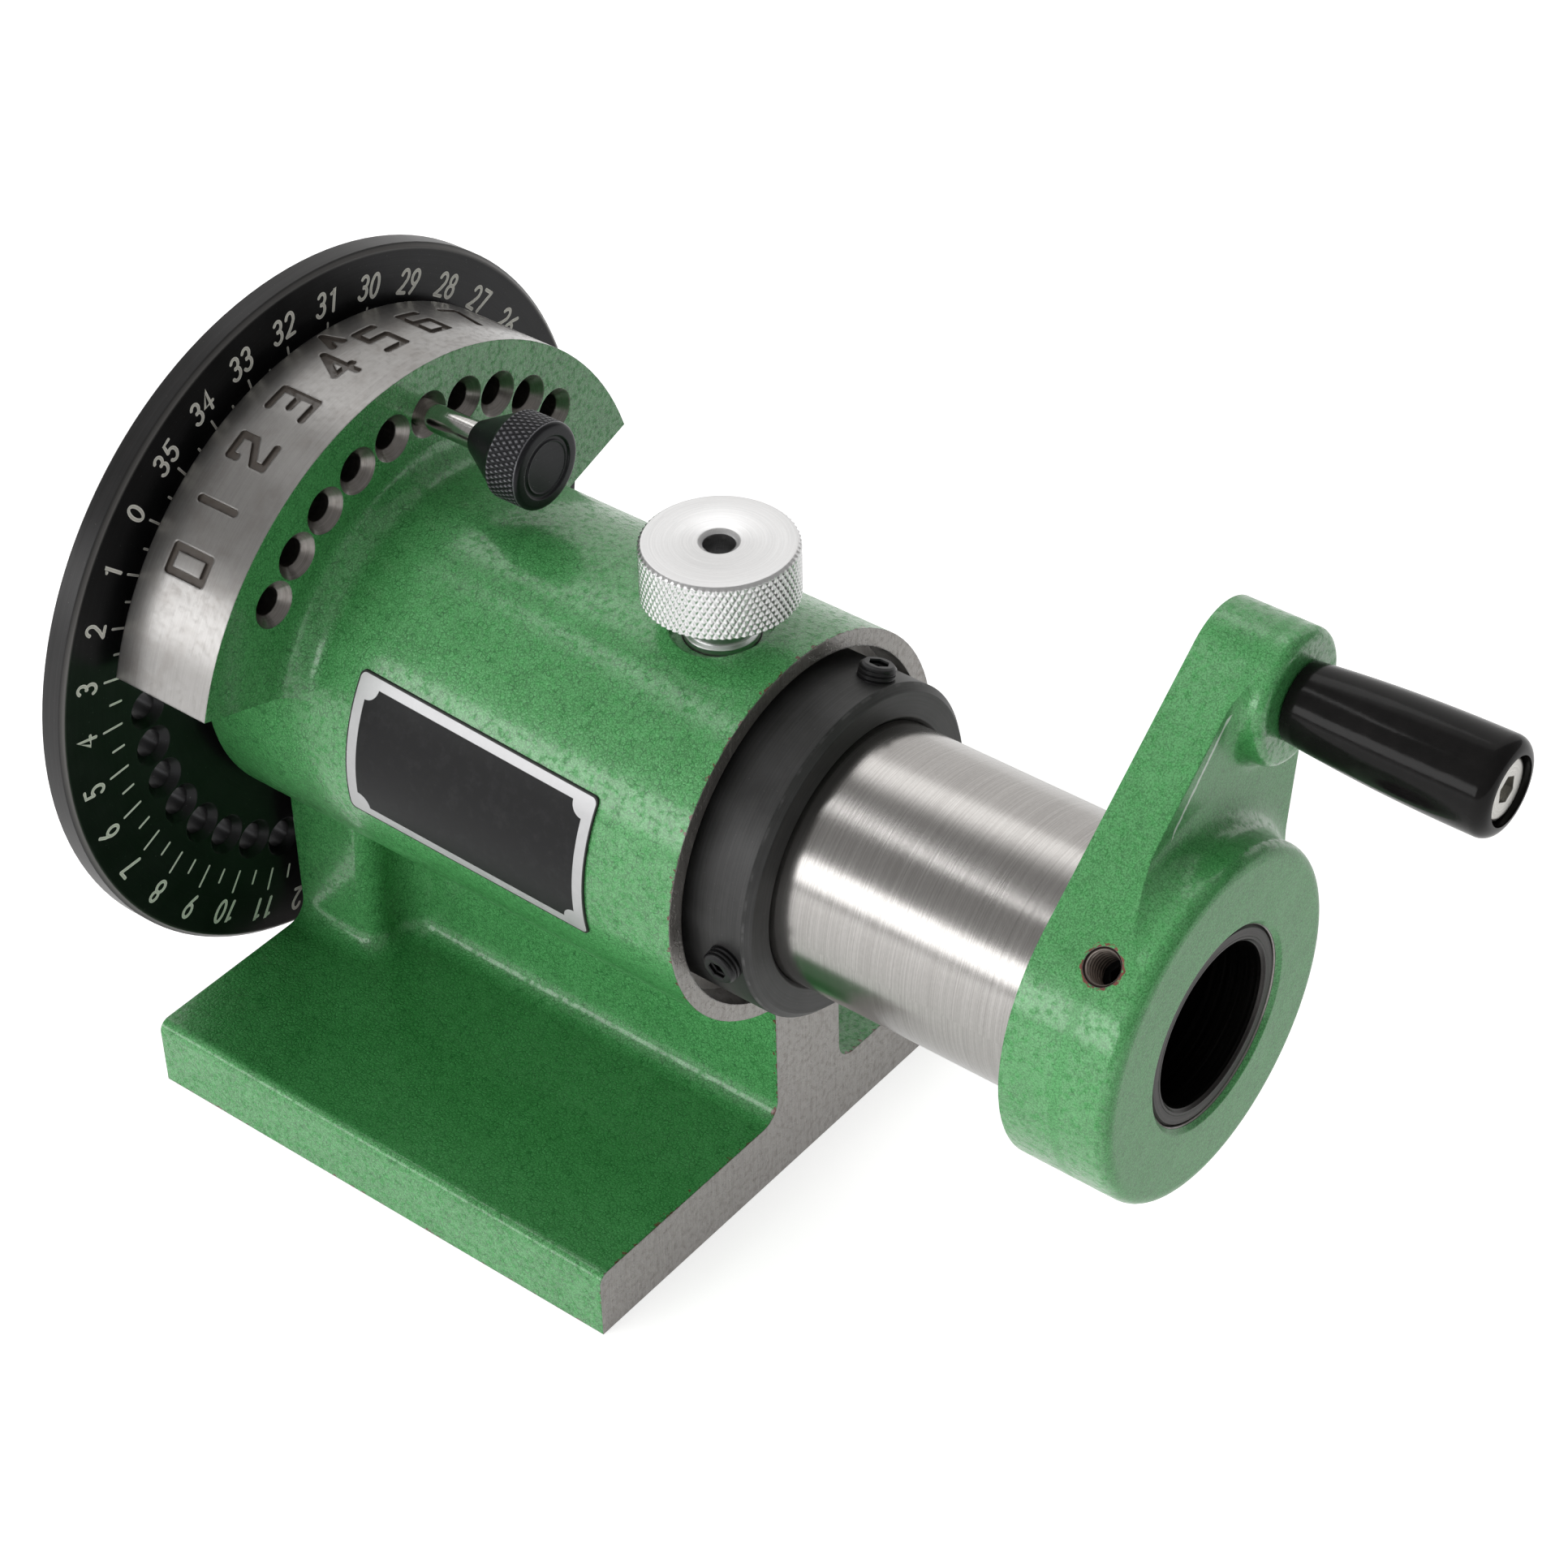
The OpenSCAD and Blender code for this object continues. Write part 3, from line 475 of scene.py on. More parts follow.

# %% [markdown]
# Paint stops at machined faces. On this casting the end that faces the crank, the front, the
# rim of the sector and every bore are bare iron, and the paint's edge is ragged, with the brown
# primer showing. The solid is one piece, so masks worked out from the coordinates say what is
# bare: a plane's distance for the faces, a radius for the bores, and the nearest of the ten
# hole axes for the sector's holes.
#
# The top of the base is painted darker, a painted shade: this light makes it paler than the picture
# shows it.

# %% Where the casting is bare
sector_x, sector_r, barrel_r, base_top = -29.6, 53.9, 33.6, 13.0
hole_circle, first_hole, hole_step, sink_r = 44.45, 140.0, 11.0, 4.11
ledge_shade = 0.3
casting = Finish("casting_enamel", GREEN, 0.35, 0.0, specular_ior_level=0.35,
                 coat_roughness=0.17, coat_ior=1.75)
colour, roughness, height, coat = enamel(casting, 0.62, 0.22)
casting.give("Coat Weight", coat)
# Painted shade: the base's top is darkened towards a deep green.
painted_shade_on_ledge = casting.z.above(base_top - 0.3, base_top - 0.05)
painted_shade_on_ledge = painted_shade_on_ledge * casting.z.below(base_top + 0.2, base_top + 4.0)
colour = casting.mix(painted_shade_on_ledge * ledge_shade, colour, (0.0, 0.10, 0.01))
radius = casting.from_axis()
angle = (casting.z - centre_z).math("ARCTAN2", casting.y) * (180.0 / math.pi)
end_gap = base_right - casting.x
front_gap = casting.x - base_left
rag = casting.noise(1.4, detail=3.0, roughness=0.6)
end_face = end_gap.below(0.01, 0.03)
front_face = front_gap.below(0.01, 0.03)
bore = radius.below(30.85, 30.90)
in_sector = casting.x.below(sector_x - 0.02, sector_x)
rim = radius.above(sector_r - 0.18, sector_r - 0.12)
rim = rim * casting.x.below(sector_x - 0.04, sector_x - 0.01)
rim = rim * casting.z.above(62.0, 63.0)
cut = radius.above(sector_r - 0.8, sector_r - 0.7) * in_sector
cut = cut * radius.below(sector_r - 0.08, sector_r - 0.04)
cut = cut * front_gap.above(0.05, 0.1) * angle.above(34.0, 35.0) * angle.below(145.0, 146.0)
hole_turn = (angle - first_hole).wrapped(hole_step)
hole_side = hole_turn * math.radians(hole_circle)
hole_out = radius - hole_circle
hole_gap = (hole_side * hole_side + hole_out * hole_out).math("SQRT")
holes = hole_gap.below(sink_r, sink_r + 0.03)
holes = holes * angle.above(35.0, 36.0) * angle.below(145.0, 146.0)
holes = holes * casting.x.below(sector_x - 0.015, sector_x)
lock_hole = casting.z.above(90.0, 91.0)
lock_gap = ((casting.x - lock_x) * (casting.x - lock_x) + casting.y * casting.y).math("SQRT")
lock_hole = lock_gap.below(6.30, 6.34) * lock_hole
underside = casting.z.below(0.01, 0.03)
bare = end_face.most(front_face).most(bore).most(rim).most(holes).most(lock_hole)
bare = bare.most(underside).most(cut)
print("bare: two ends, bore, rim with its figures, ten holes, lock hole, underside")

# %% [markdown]
# The bare iron was milled at the ends and ground at the rim, and the two leave different lines:
# straight ones that run up the end faces, and rings round the rim. Both are noise that is stretched
# along the line. The figures cut in the rim are dark. At the edges of the end face and at the
# base's corners the paint has chipped down to the primer.

# %% Casting finish
chips = (rag - end_gap * 0.16).above(0.50, 0.56) * end_gap.below(2.0, 2.6)
corner_rag = (rag - (abs(casting.y) * -1.0 + 54.1) * 0.5 - casting.z * 0.35).above(0.50, 0.55)
chips = chips.most(corner_rag)

grain_z = casting.vector(casting.x * 4.0, casting.y * 4.0, casting.z * 0.12)
mill_lines = casting.noise(1.0, grain_z, detail=3.0, roughness=0.7)
pores = casting.noise(0.28, detail=2.0).below(0.28, 0.36)
grain_rim = casting.vector(casting.x * 5.0, angle * 0.06, radius * 0.2)
rim_lines = casting.noise(1.0, grain_rim, detail=4.0, roughness=0.7)
iron = casting.mix(mill_lines, (0.19, 0.175, 0.165), (0.40, 0.38, 0.36))
iron = casting.mix(pores * 0.5, iron, (0.07, 0.06, 0.055))
steel = casting.mix(rim_lines, (0.25, 0.24, 0.232), (0.44, 0.43, 0.42))
stain = casting.noise(6.0, detail=4.0, roughness=0.6).above(0.46, 0.70) * 0.45
steel = casting.mix(stain, steel, (0.25, 0.23, 0.215))
iron = casting.mix(rim, iron, steel)
iron = casting.mix(cut, iron, (0.075, 0.062, 0.052))
iron = casting.mix(holes, iron, casting.mix(rim_lines, (0.10, 0.09, 0.082), (0.38, 0.35, 0.33)))
primer = casting.mix(rag.above(0.45, 0.6), (0.025, 0.017, 0.012), (0.13, 0.045, 0.030))
painted = casting.mix(chips, colour, primer)
casting.give("Base Color", casting.mix(bare, painted, iron))
metal_share = bare * (1.0 - cut * 0.75)
casting.give("Metallic", casting.blend(metal_share, 0.10, 0.95))
bare_rough = casting.blend(rim.most(holes), 0.46, 0.33)
casting.give("Roughness", casting.blend(bare, roughness, bare_rough))
lines = casting.blend(rim, mill_lines, rim_lines)
edges = casting.soft_edges(0.45)
paint_skin = casting.bump(height * (1.0 - bare) - chips * 0.25, 0.16, edges)
skin = casting.bump(lines * bare, 0.012, paint_skin)
casting.give("Normal", skin)
casting.dress("body_casting")

# %% [markdown]
# The name plate is thin sheet with a silver border round a plain black panel. The border is a
# rounded rectangle drawn in the plate's own plane, which leans with the barrel's side.

# %% Name plate finish
label_x, label_lean, label_tilt = 7.6, math.radians(81.0), math.radians(2.0)
plate_finish = Finish("label_print", (0.02, 0.02, 0.02), 0.32, 0.0, specular_ior_level=0.2)
across = plate_finish.x - label_x
rise = plate_finish.y * math.cos(label_lean) + (plate_finish.z - centre_z) * math.sin(label_lean)
along = across * math.cos(label_tilt) - rise * math.sin(label_tilt)
rise = across * math.sin(label_tilt) + rise * math.cos(label_tilt)


def inside_box(finish, u, v, half_u, half_v, corner):
    """How far a point lies inside a rounded rectangle, in millimetres, below 0 outside."""
    out_u = (abs(u) - (half_u - corner)).most(0.0)
    out_v = (abs(v) - (half_v - corner)).most(0.0)
    return (out_u * out_u + out_v * out_v).math("SQRT") * -1.0 + corner


panel = inside_box(plate_finish, along, rise, 22.8, 11.1, 0.1).above(-0.06, 0.06)
notch_u, notch_v = abs(along) - 22.8, abs(rise) - 11.1
notch = (notch_u * notch_u + notch_v * notch_v).math("SQRT").below(2.24, 2.36)
panel = panel * (1.0 - notch)
# Painted shade: a dark line round the plate's edge, outside the silver border.
painted_edge_shade = inside_box(plate_finish, along, rise, 24.75, 12.75, 1.0).below(-0.05, 0.05)
dust = plate_finish.noise(2.5, detail=5.0, roughness=0.7)
black = plate_finish.mix(dust.above(0.45, 0.75) * 0.4, (0.008, 0.008, 0.009), (0.03, 0.03, 0.032))
silver = plate_finish.mix(dust, (0.46, 0.46, 0.47), (0.60, 0.60, 0.61))
colour = plate_finish.mix(panel, silver, black)
plate_finish.give("Base Color", plate_finish.mix(painted_edge_shade, colour, (0.03, 0.03, 0.03)))
plate_finish.give("Roughness", dust * 0.25 + 0.25)
plate_finish.give("Metallic", (1.0 - panel) * (1.0 - painted_edge_shade) * 0.55)
plate_finish.give("Normal", plate_finish.bump(dust * 0.3 + panel * 0.6, 0.02))
plate_finish.dress("name_plate")

# %% [markdown]
# The spindle and the rim of the sector are ground, so they carry fine rings that run round the
# axis. Each ring is a little deeper or shallower than the next, which stretches every highlight
# along the ring. Noise that is squeezed along X and hardly changes round the axis gives this:
# the solid needs no more faces. A coarser noise and small spots break the rings up a little.

# %% Ground and turned metal
def turned_metal(name, dark, pale, roughness, line_mm, depth_mm, axis="X", centre=(0.0, 0.0)):
    """Metal with rings round an axis, line_mm apart and depth_mm deep."""
    finish = Finish(name, pale, roughness, 1.0)
    if axis == "X":
        away = finish.from_axis(*centre)
        turn = (finish.z - centre[1]).math("ARCTAN2", finish.y - centre[0])
        place = finish.x
    else:
        side_x, side_y = finish.x - centre[0], finish.y - centre[1]
        away = (side_x * side_x + side_y * side_y).math("SQRT")
        turn = side_y.math("ARCTAN2", side_x)
        place = finish.z
    rings = finish.vector(place / line_mm, away / line_mm, turn * 0.5)
    fine = finish.noise(1.0, rings, detail=4.0, roughness=0.75)
    broad = finish.noise(1.0, finish.vector(place * 0.7, away * 0.7, turn * 1.5), detail=3.0)
    spots = finish.noise(0.6, detail=4.0, roughness=0.7)
    tone = fine * 0.80 + broad * 0.06 + spots * 0.18 - 0.04
    finish.give("Base Color", finish.mix(tone.above(0.25, 0.8), dark, pale))
    finish.give("Roughness", broad * 0.06 + (roughness - 0.03))
    edge = finish.soft_edges(0.25)
    finish.give("Normal", finish.bump(fine, depth_mm, edge))
    return finish


spindle_steel = turned_metal("spindle_ground", (0.37, 0.355, 0.342), (0.585, 0.57, 0.555), 0.21,
                             0.14, 0.0015, centre=(0.0, centre_z))
spindle_steel.dress("spindle")
tube_steel = turned_metal("tube_dark", (0.018, 0.017, 0.017), (0.075, 0.07, 0.068), 0.36, 0.5,
                          0.012, centre=(0.0, centre_z))
bore_rings = tube_steel.noise(1.0, tube_steel.vector(tube_steel.x / 1.1, 0.0, 0.0), detail=3.0)
in_bore = tube_steel.from_axis(0.0, centre_z).below(14.5, 14.6)
tube_steel.give("Normal", tube_steel.bump(bore_rings * in_bore, 0.22))
tube_steel.dress("draw_tube")
axle_steel = turned_metal("axle_zinc", (0.50, 0.49, 0.46), (0.74, 0.73, 0.70), 0.28, 0.3,
                          0.01, centre=(grip_y, grip_z))
axle_steel.dress("handle_axle")
pin_steel = turned_metal("pin_polished", (0.52, 0.51, 0.49), (0.74, 0.73, 0.71), 0.14, 0.25,
                         0.004, centre=(pin_y, pin_z))
pin_steel.dress("index_pin")
screw_steel = turned_metal("screw_turned", (0.30, 0.29, 0.28), (0.52, 0.51, 0.50), 0.35, 0.4,
                           0.01, axis="Z", centre=(lock_x, 0.0))
screw_steel.dress("lock_screw", "collet_key")
brass = turned_metal("plug_turned", (0.46, 0.30, 0.09), (0.70, 0.50, 0.20), 0.3, 0.4, 0.008,
                     axis="Z", centre=(lock_x, 0.0))
brass.dress("lock_plug")

# %% [markdown]
# The index plate and the thrust collar are steel that was turned and then blackened in a hot salt
# bath. The black is thin: it leaves the turning rings to be seen, and it is worn off at the
# corners, where the plate is handled. On the collar's chamfer a pale broken line is partly rubbed
# edge and partly a painted highlight.

# %% Blackened steel
def blackened(name, base, worn_and_glint_colour, roughness, edge_mask=None):
    """Black oxide on turned steel; edge_mask gives where it is paler: rubbed bare, and on some
    parts also a painted glint.
    """
    finish = Finish(name, base, roughness, 0.6, specular_ior_level=0.4)
    away = finish.from_axis()
    turn = (finish.z - centre_z).math("ARCTAN2", finish.y)
    rings = finish.vector(finish.x / 0.3, away / 0.3, turn * 0.9)
    fine = finish.noise(1.0, rings, detail=4.0, roughness=0.75)
    cloud = finish.noise(7.0, detail=4.0)
    specks = finish.noise(0.45, detail=2.0).above(0.70, 0.76)
    tone = fine * 0.5 + cloud * 0.5
    colour = finish.mix(tone.above(0.3, 0.75), base, [c * 1.8 for c in base])
    wear_and_glint = specks * 0.35
    if edge_mask is not None:
        wear_and_glint = wear_and_glint.most(edge_mask(finish, away) * (fine * 0.6 + 0.4))
    finish.give("Base Color", finish.mix(wear_and_glint, colour, worn_and_glint_colour))
    finish.give("Roughness", cloud * 0.14 + (roughness - 0.07))
    finish.give("Normal", finish.bump(fine, 0.008, finish.soft_edges(0.3)))
    return finish


def plate_edges(finish, away):
    band = (finish.x - plate_front).above(0.1, 0.9) * (plate_back - finish.x).above(0.1, 0.9)
    lip = away.above(plate_r - 1.2, plate_r - 0.6)
    rim = away.above(plate_r - 0.12, plate_r - 0.05) * 0.16
    return (lip * (1.0 - band)).most(rim)


def collar_edges(finish, away):
    # A pale broken line on the chamfer: partly rubbed bare, partly a painted highlight.
    line = abs(finish.x - (collar_front - 1.0)).below(0.05, 0.22) * away.above(27.0, 28.0)
    return line * finish.noise(2.5, detail=3.0).above(0.45, 0.65) * 0.8


plate_black = blackened("plate_black_oxide", (0.012, 0.012, 0.013), (0.17, 0.165, 0.16), 0.34,
                        plate_edges)
plate_black.dress("index_plate")
collar_black = blackened("collar_black_oxide", (0.046, 0.046, 0.046), (0.15, 0.15, 0.15), 0.47,
                         collar_edges)
collar_black.dress("thrust_collar")
screw_black = blackened("screw_black_oxide", (0.02, 0.02, 0.021), (0.12, 0.12, 0.12), 0.34)
turns = (screw_black.from_axis() * (2.0 * math.pi / 0.8)).sine()
screw_black.give("Normal", screw_black.bump(turns, 0.10, screw_black.soft_edges(0.2)))
screw_black.dress("plate_screw_1", "plate_screw_2", "plate_screw_3", "plate_screw_4",
                  "crank_set_screw", "collar_screw_1", "collar_screw_2", "collar_screw_3")

# %% [markdown]
# The crank is cast too and wears the same enamel as the casting, with fainter lines between the
# cells. Its bore, the walls of its holes and the ring round the bore on its front face are bare.
# Round the set screw's hole the paint is torn and the lip is red-brown. The flat faces have an
# even clear coat, because one that came and went showed there as pale dapples.

# %% Where the crank is bare
crank = Finish("crank_hammered", GREEN, 0.35, 0.0, specular_ior_level=0.35,
               coat_roughness=0.17, coat_ior=1.75)
# Painted light: the crank's lift is a little higher than the casting's, so its copy of the enamel
# is paler.
colour, roughness, height, coat = enamel(crank, 0.34, 0.26)
arm_back = crank_front + 9.8
flat_face = crank.x.above(hub_back - 0.9, hub_back - 0.4)
flat_face = flat_face.most(abs(crank.x - arm_back).below(0.5, 1.2))
crank.give("Coat Weight", crank.blend(flat_face, coat, 0.30))
radius = crank.from_axis()
hub_front = crank.x.below(crank_front + 0.01, crank_front + 0.03) * radius.below(28.6, 28.7)
bare = radius.below(16.6, 16.7).most(hub_front)
screw_hole = crank.from_axis(grip_y, grip_z).below(3.04, 3.08)
bare = bare.most(screw_hole)
steel = crank.mix(crank.noise(0.5, detail=3.0), (0.20, 0.19, 0.18), (0.42, 0.40, 0.38))
screw_turn = math.radians(132.0)
drop = (crank.z - centre_z) * math.cos(screw_turn) - crank.y * math.sin(screw_turn)
screw_x = crank_front + 10.7
along = crank.x - screw_x
screw_gap = (along * along + drop * drop).math("SQRT")
torn = crank.noise(1.3, detail=3.0, roughness=0.6) * 1.5 + 2.62
lip = (screw_gap - torn).below(0.0, 0.08) * radius.above(26.0, 27.0)
lip = lip * crank.y.below(0.0, 1.0) * crank.noise(0.9, detail=2.0).above(0.40, 0.52)
bare = bare.most(screw_gap.below(3.02, 3.05) * crank.y.below(0.0, 1.0))
print("set screw's hole at x", round(screw_x, 2))

# %% [markdown]
# In the picture a thin bright reflection runs along one long edge of the arm. The light here
# doesn't make it, so it is painted: a line of pale colour that stays when the light changes.

# %% Crank finish
rust = crank.mix(crank.noise(0.4, detail=3.0), (0.06, 0.022, 0.016), (0.34, 0.085, 0.060))
colour = crank.mix(lip, colour, rust)
edge_start, edge_way = (-7.88, 97.19), (0.7145, 0.6996)
edge_y, edge_z = crank.y - edge_start[0], crank.z - edge_start[1]
run = edge_y * edge_way[0] + edge_z * edge_way[1]
off = abs(edge_y * edge_way[1] - edge_z * edge_way[0]) + abs(crank.x - arm_back)
thin = (off + crank.noise(1.2, detail=3.0) * 0.5).below(0.42, 0.66)
thin = thin * run.above(-8.0, 2.0) * run.below(29.0, 31.0)
thin = thin * crank.x.above(arm_back - 1.8, arm_back - 1.4)
colour = crank.mix(thin * 0.85, colour, (0.80, 0.90, 0.82))
crank.give("Base Color", crank.mix(bare, colour, steel))
crank.give("Metallic", crank.blend(bare, 0.10, 0.95))
crank.give("Roughness", crank.blend(bare, roughness, 0.4))
crank.give("Normal", crank.bump(height * (1.0 - bare), 0.16, crank.soft_edges(0.5)))
crank.dress("crank_arm")

# %% [markdown]
# Knurls, threads and rounded plastics are pieces of their own. They are all built from rings of
# points: a profile is swept round an axis, and a function moves each point in or out. The rings
# are joined by quads, and the ends are closed at a point on the axis, so every mesh is watertight.

# %% Mesh helpers
def piece(name, points, faces, finish, body, sharp=32.0):
    """An object from points in millimetres and faces. The sum of a . (b x c) over its triangles
    is six times its volume; where that is below 0, the faces are turned round."""
    points = np.asarray(points, float) * MM
    whole = 0.0
    for face_size in sorted({len(face) for face in faces}):
        some = np.array([face for face in faces if len(face) == face_size])
        for k in range(1, face_size - 1):
            a, b, c = points[some[:, 0]], points[some[:, k]], points[some[:, k + 1]]
            whole += np.einsum("ij,ij->i", a, np.cross(b, c)).sum()
    if whole < 0.0:
        faces = [face[::-1] for face in faces]
    mesh = bpy.data.meshes.new(name)
    mesh.from_pydata(points.tolist(), [], faces)
    mesh.shade_smooth()
    mesh.set_sharp_from_angle(angle=math.radians(sharp))
    mesh.materials.append(finish.material)
    made = bpy.data.objects.new(name, mesh)
    bpy.context.scene.collection.objects.link(made)
    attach(made, body)
    print(name, len(points), "points", len(faces), "faces, on", body)
    return made


def ring_faces(rows, columns):
    """Quads between neighbouring rows of a grid of points whose columns run round."""
    row, column = np.meshgrid(np.arange(rows - 1), np.arange(columns), indexing="ij")
    here, there = row * columns + column, row * columns + (column + 1) % columns
    return np.stack([here, there, there + columns, here + columns], axis=-1).reshape(-1, 4)


def closed_rings(rings):
    """Points and faces of a stack of rings, whose two ends are closed at their middles."""
    rows, columns = rings.shape[:2]
    points = np.concatenate([rings.reshape(-1, 3), [rings[0].mean(axis=0)],
                             [rings[-1].mean(axis=0)]])
    here = np.arange(columns)
    there = (here + 1) % columns
    low = np.stack([there, here, np.full(columns, rows * columns)], axis=1)
    top = (rows - 1) * columns
    high = np.stack([top + here, top + there, np.full(columns, rows * columns + 1)], axis=1)
    faces = ring_faces(rows, columns).tolist() + low.tolist() + high.tolist()
    return points, faces


def turned(profile, axis, centre, columns, cut=None):
    """Rings of points from a profile of (place along the axis, radius) turned round an axis.
    cut gives how far each point is moved inwards, from its place and its angle."""
    profile = np.asarray(profile, float)
    turn = np.linspace(0.0, 2.0 * np.pi, columns, endpoint=False)
    place, turn = np.meshgrid(profile[:, 0], turn, indexing="ij")
    radius = profile[:, 1][:, None] - (cut(place, turn) if cut else 0.0)
    side, up = centre[0] + radius * np.cos(turn), centre[1] + radius * np.sin(turn)
    order = (place, side, up) if axis == "X" else (side, up, place)
    return np.stack(order, axis=-1)


def arc(middle, radius, start, end, steps=6):
    """Profile points on a circle: (place, radius) pairs from one angle to another."""
    turn = np.radians(np.linspace(start, end, steps))
    return [(middle[0] + radius * math.sin(t), middle[1] + radius * math.cos(t)) for t in turn]


def steps_between(first, last, count):
    """Evenly spaced profile points from first to last."""
    share = np.linspace(0.0, 1.0, count)[:, None]
    return (np.array(first) * (1.0 - share) + np.array(last) * share).tolist()


def knurl(low, high, around, pitch, depth, radius):
    """Two sets of V grooves between two places. Each is deepest where the turn, counted in
    grooves, plus or minus the place, counted in pitches, is a whole number."""
    def cut(place, turn):
        total = 0.0
        for way in (1.0, -1.0):
            phase = turn * around / (2.0 * np.pi) + way * (place - low) / pitch
            near = np.abs(phase - np.round(phase))
            total = np.maximum(total, np.clip(1.0 - near / 0.34, 0.0, 1.0))
        inside = (place > low - 1e-6) & (place < high + 1e-6)
        return total * depth * inside
    return cut


# %% [markdown]
# The lock knob is turned from aluminium bar. A knurling wheel has pressed two sets of crossed
# grooves into its side, which leaves rows of small diamonds, taller than they are wide. The
# top was faced on the lathe and shows fine rings, and the hole in it is plain.

# %% Lock knob
aluminium = turned_metal("aluminium_turned", (0.76, 0.76, 0.765), (0.92, 0.92, 0.925), 0.30,
                         0.30, 0.004, axis="Z", centre=(lock_x, 0.0))
knob_r = (span("lock_knob", 0)[1] - span("lock_knob", 0)[0]) / 2
head_z = knob_top - 9.9
neck_r, relief_r = 6.1, 5.35
barrel_top = centre_z + barrel_r
side = steps_between((head_z + 0.55, knob_r), (knob_top - 0.55, knob_r), 66)
knob_profile = [(knob_foot, 0.02), (knob_foot, neck_r - 0.2), (knob_foot + 0.2, neck_r)]
knob_profile += [(barrel_top - 1.35, neck_r), (barrel_top - 1.15, neck_r - 0.22),
                 (barrel_top - 1.1, relief_r + 0.12), (barrel_top - 0.95, relief_r)]
knob_profile += [(head_z - 0.5, relief_r), (head_z - 0.15, relief_r + 0.15),
                 (head_z, relief_r + 0.5), (head_z, knob_r - 1.0), (head_z + 0.1, knob_r - 0.6)]
knob_profile += side
knob_profile += [(knob_top - 0.12, knob_r - 0.45), (knob_top, knob_r - 0.62),
                 (knob_top, knob_r - 1.6), (knob_top, 3.5), (knob_top - 0.06, 3.32),
                 (knob_top - 0.55, 2.8), (knob_top - 6.8, 2.8), (knob_top - 7.4, 0.02)]
grooves = knurl(head_z + 0.55, knob_top - 0.55, 69, 2.0, 0.26, knob_r)
rings = turned(knob_profile, "Z", (lock_x, 0.0), 69 * 8, grooves)
points, faces = closed_rings(rings)
knob = piece("lock_knob_knurled", points, faces, aluminium, "knob")
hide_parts("lock_knob")

# %% [markdown]
# The index pin's knob is blackened steel: a plain cone that leads to a knurled band, and a face
# with a shallow groove round a flat disc.

# %% Pin knob
pin_r = (span("pin_knob", 1)[1] - span("pin_knob", 1)[0]) / 2


# The knurl's crests are paler: partly rubbed bare, partly a painted glint.
def knurl_crests(finish, away):
    return finish.from_axis(pin_y, pin_z).above(pin_r - 0.10, pin_r - 0.01) * 0.8


knob_black = blackened("knob_black_oxide", (0.013, 0.013, 0.015), (0.26, 0.26, 0.28), 0.30,
                       knurl_crests)
cone_end = pin_knob_start + 7.83
band_end = pin_knob_end - 0.9
profile = [(pin_knob_start, 2.5), (pin_knob_start, 2.75), (pin_knob_start + 0.12, 2.88)]
profile += steps_between((pin_knob_start + 0.2, 2.93), (cone_end, pin_r - 0.3), 12)
profile += [(cone_end + 0.2, pin_r - 0.06)]
profile += steps_between((cone_end + 0.4, pin_r), (band_end, pin_r), 40)
profile += arc((band_end, pin_r - 0.9), 0.9, 8, 90, 6)
profile += [(pin_knob_end, 5.45), (pin_knob_end - 0.12, 5.3), (pin_knob_end - 0.3, 5.2),
            (pin_knob_end - 0.3, 4.75), (pin_knob_end - 0.12, 4.62), (pin_knob_end - 0.05, 4.5),
            (pin_knob_end - 0.16, 4.35), (pin_knob_end - 0.2, 3.0), (pin_knob_end - 0.2, 0.5)]
grooves = knurl(cone_end + 0.4, band_end, 48, 1.9, 0.24, pin_r)
rings = turned(profile, "X", (pin_y, pin_z), 48 * 8, grooves)
points, faces = closed_rings(rings)
knob = piece("pin_knob_knurled", points, faces, knob_black, "pin")
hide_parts("pin_knob")

# %% [markdown]
# The handle is moulded in black plastic. It is narrow at the root and swells towards its free
# end in one curve, which is rounded over and has a recess for the head of the axle.

# %% Handle grip
plastic = Finish("grip_plastic", (0.008, 0.007, 0.007), 0.16, 0.0, specular_ior_level=0.17)
haze = plastic.noise(3.0, detail=4.0, roughness=0.6)
scuffs = plastic.noise(1.0, plastic.vector(plastic.x * 0.4, plastic.y * 3.0, plastic.z * 3.0),
                       detail=4.0, roughness=0.7)
plastic.give("Base Color", plastic.mix(haze, (0.004, 0.004, 0.004), (0.012, 0.011, 0.011)))
plastic.give("Roughness", scuffs.above(0.45, 0.8) * 0.12 + 0.12)
plastic.give("Normal", plastic.bump(haze * 0.6 + scuffs * 0.1, 0.03))
root_r, end_r, round_r = 6.4, 7.95, 2.4
share = np.linspace(0.0, 1.0, 26)
body_end = grip_end - round_r
swell = root_r + (end_r - root_r) * (1.0 - (1.0 - share) ** 2.2)
profile = [(grip_start, 3.1), (grip_start, root_r - 0.35)]
profile += arc((grip_start + 0.3, root_r - 0.3), 0.3, -70, 0, 4)
profile += np.stack([grip_start + 0.5 + (body_end - grip_start - 0.5) * share, swell],
                    axis=1).tolist()[1:]
profile += arc((body_end, end_r - round_r), round_r, 8, 90, 10)
profile += [(grip_end - 0.12, 5.62), (grip_end - 0.45, 5.55), (grip_end - 3.8, 5.55),
            (grip_end - 3.8, 3.1)]
rings = turned(profile, "X", (grip_y, grip_z), 96)
rows, columns = rings.shape[:2]
faces = ring_faces(rows, columns).tolist()
last = (rows - 1) * columns
faces += [[last + k, last + (k + 1) % columns, (k + 1) % columns, k] for k in range(columns)]
grip = piece("grip_moulded", rings.reshape(-1, 3), faces, plastic, "grip")
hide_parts("handle_grip")

# %% [markdown]
# The crank's set screw sits deep in its hole, so the thread above it is seen. A thread is a
# groove whose place moves along by one pitch in every turn: the radius is the crest plus a share
# of the depth that depends on the place less the turn. The sleeve that carries it lies inside the
# hole's wall and stops short of the painted lip.

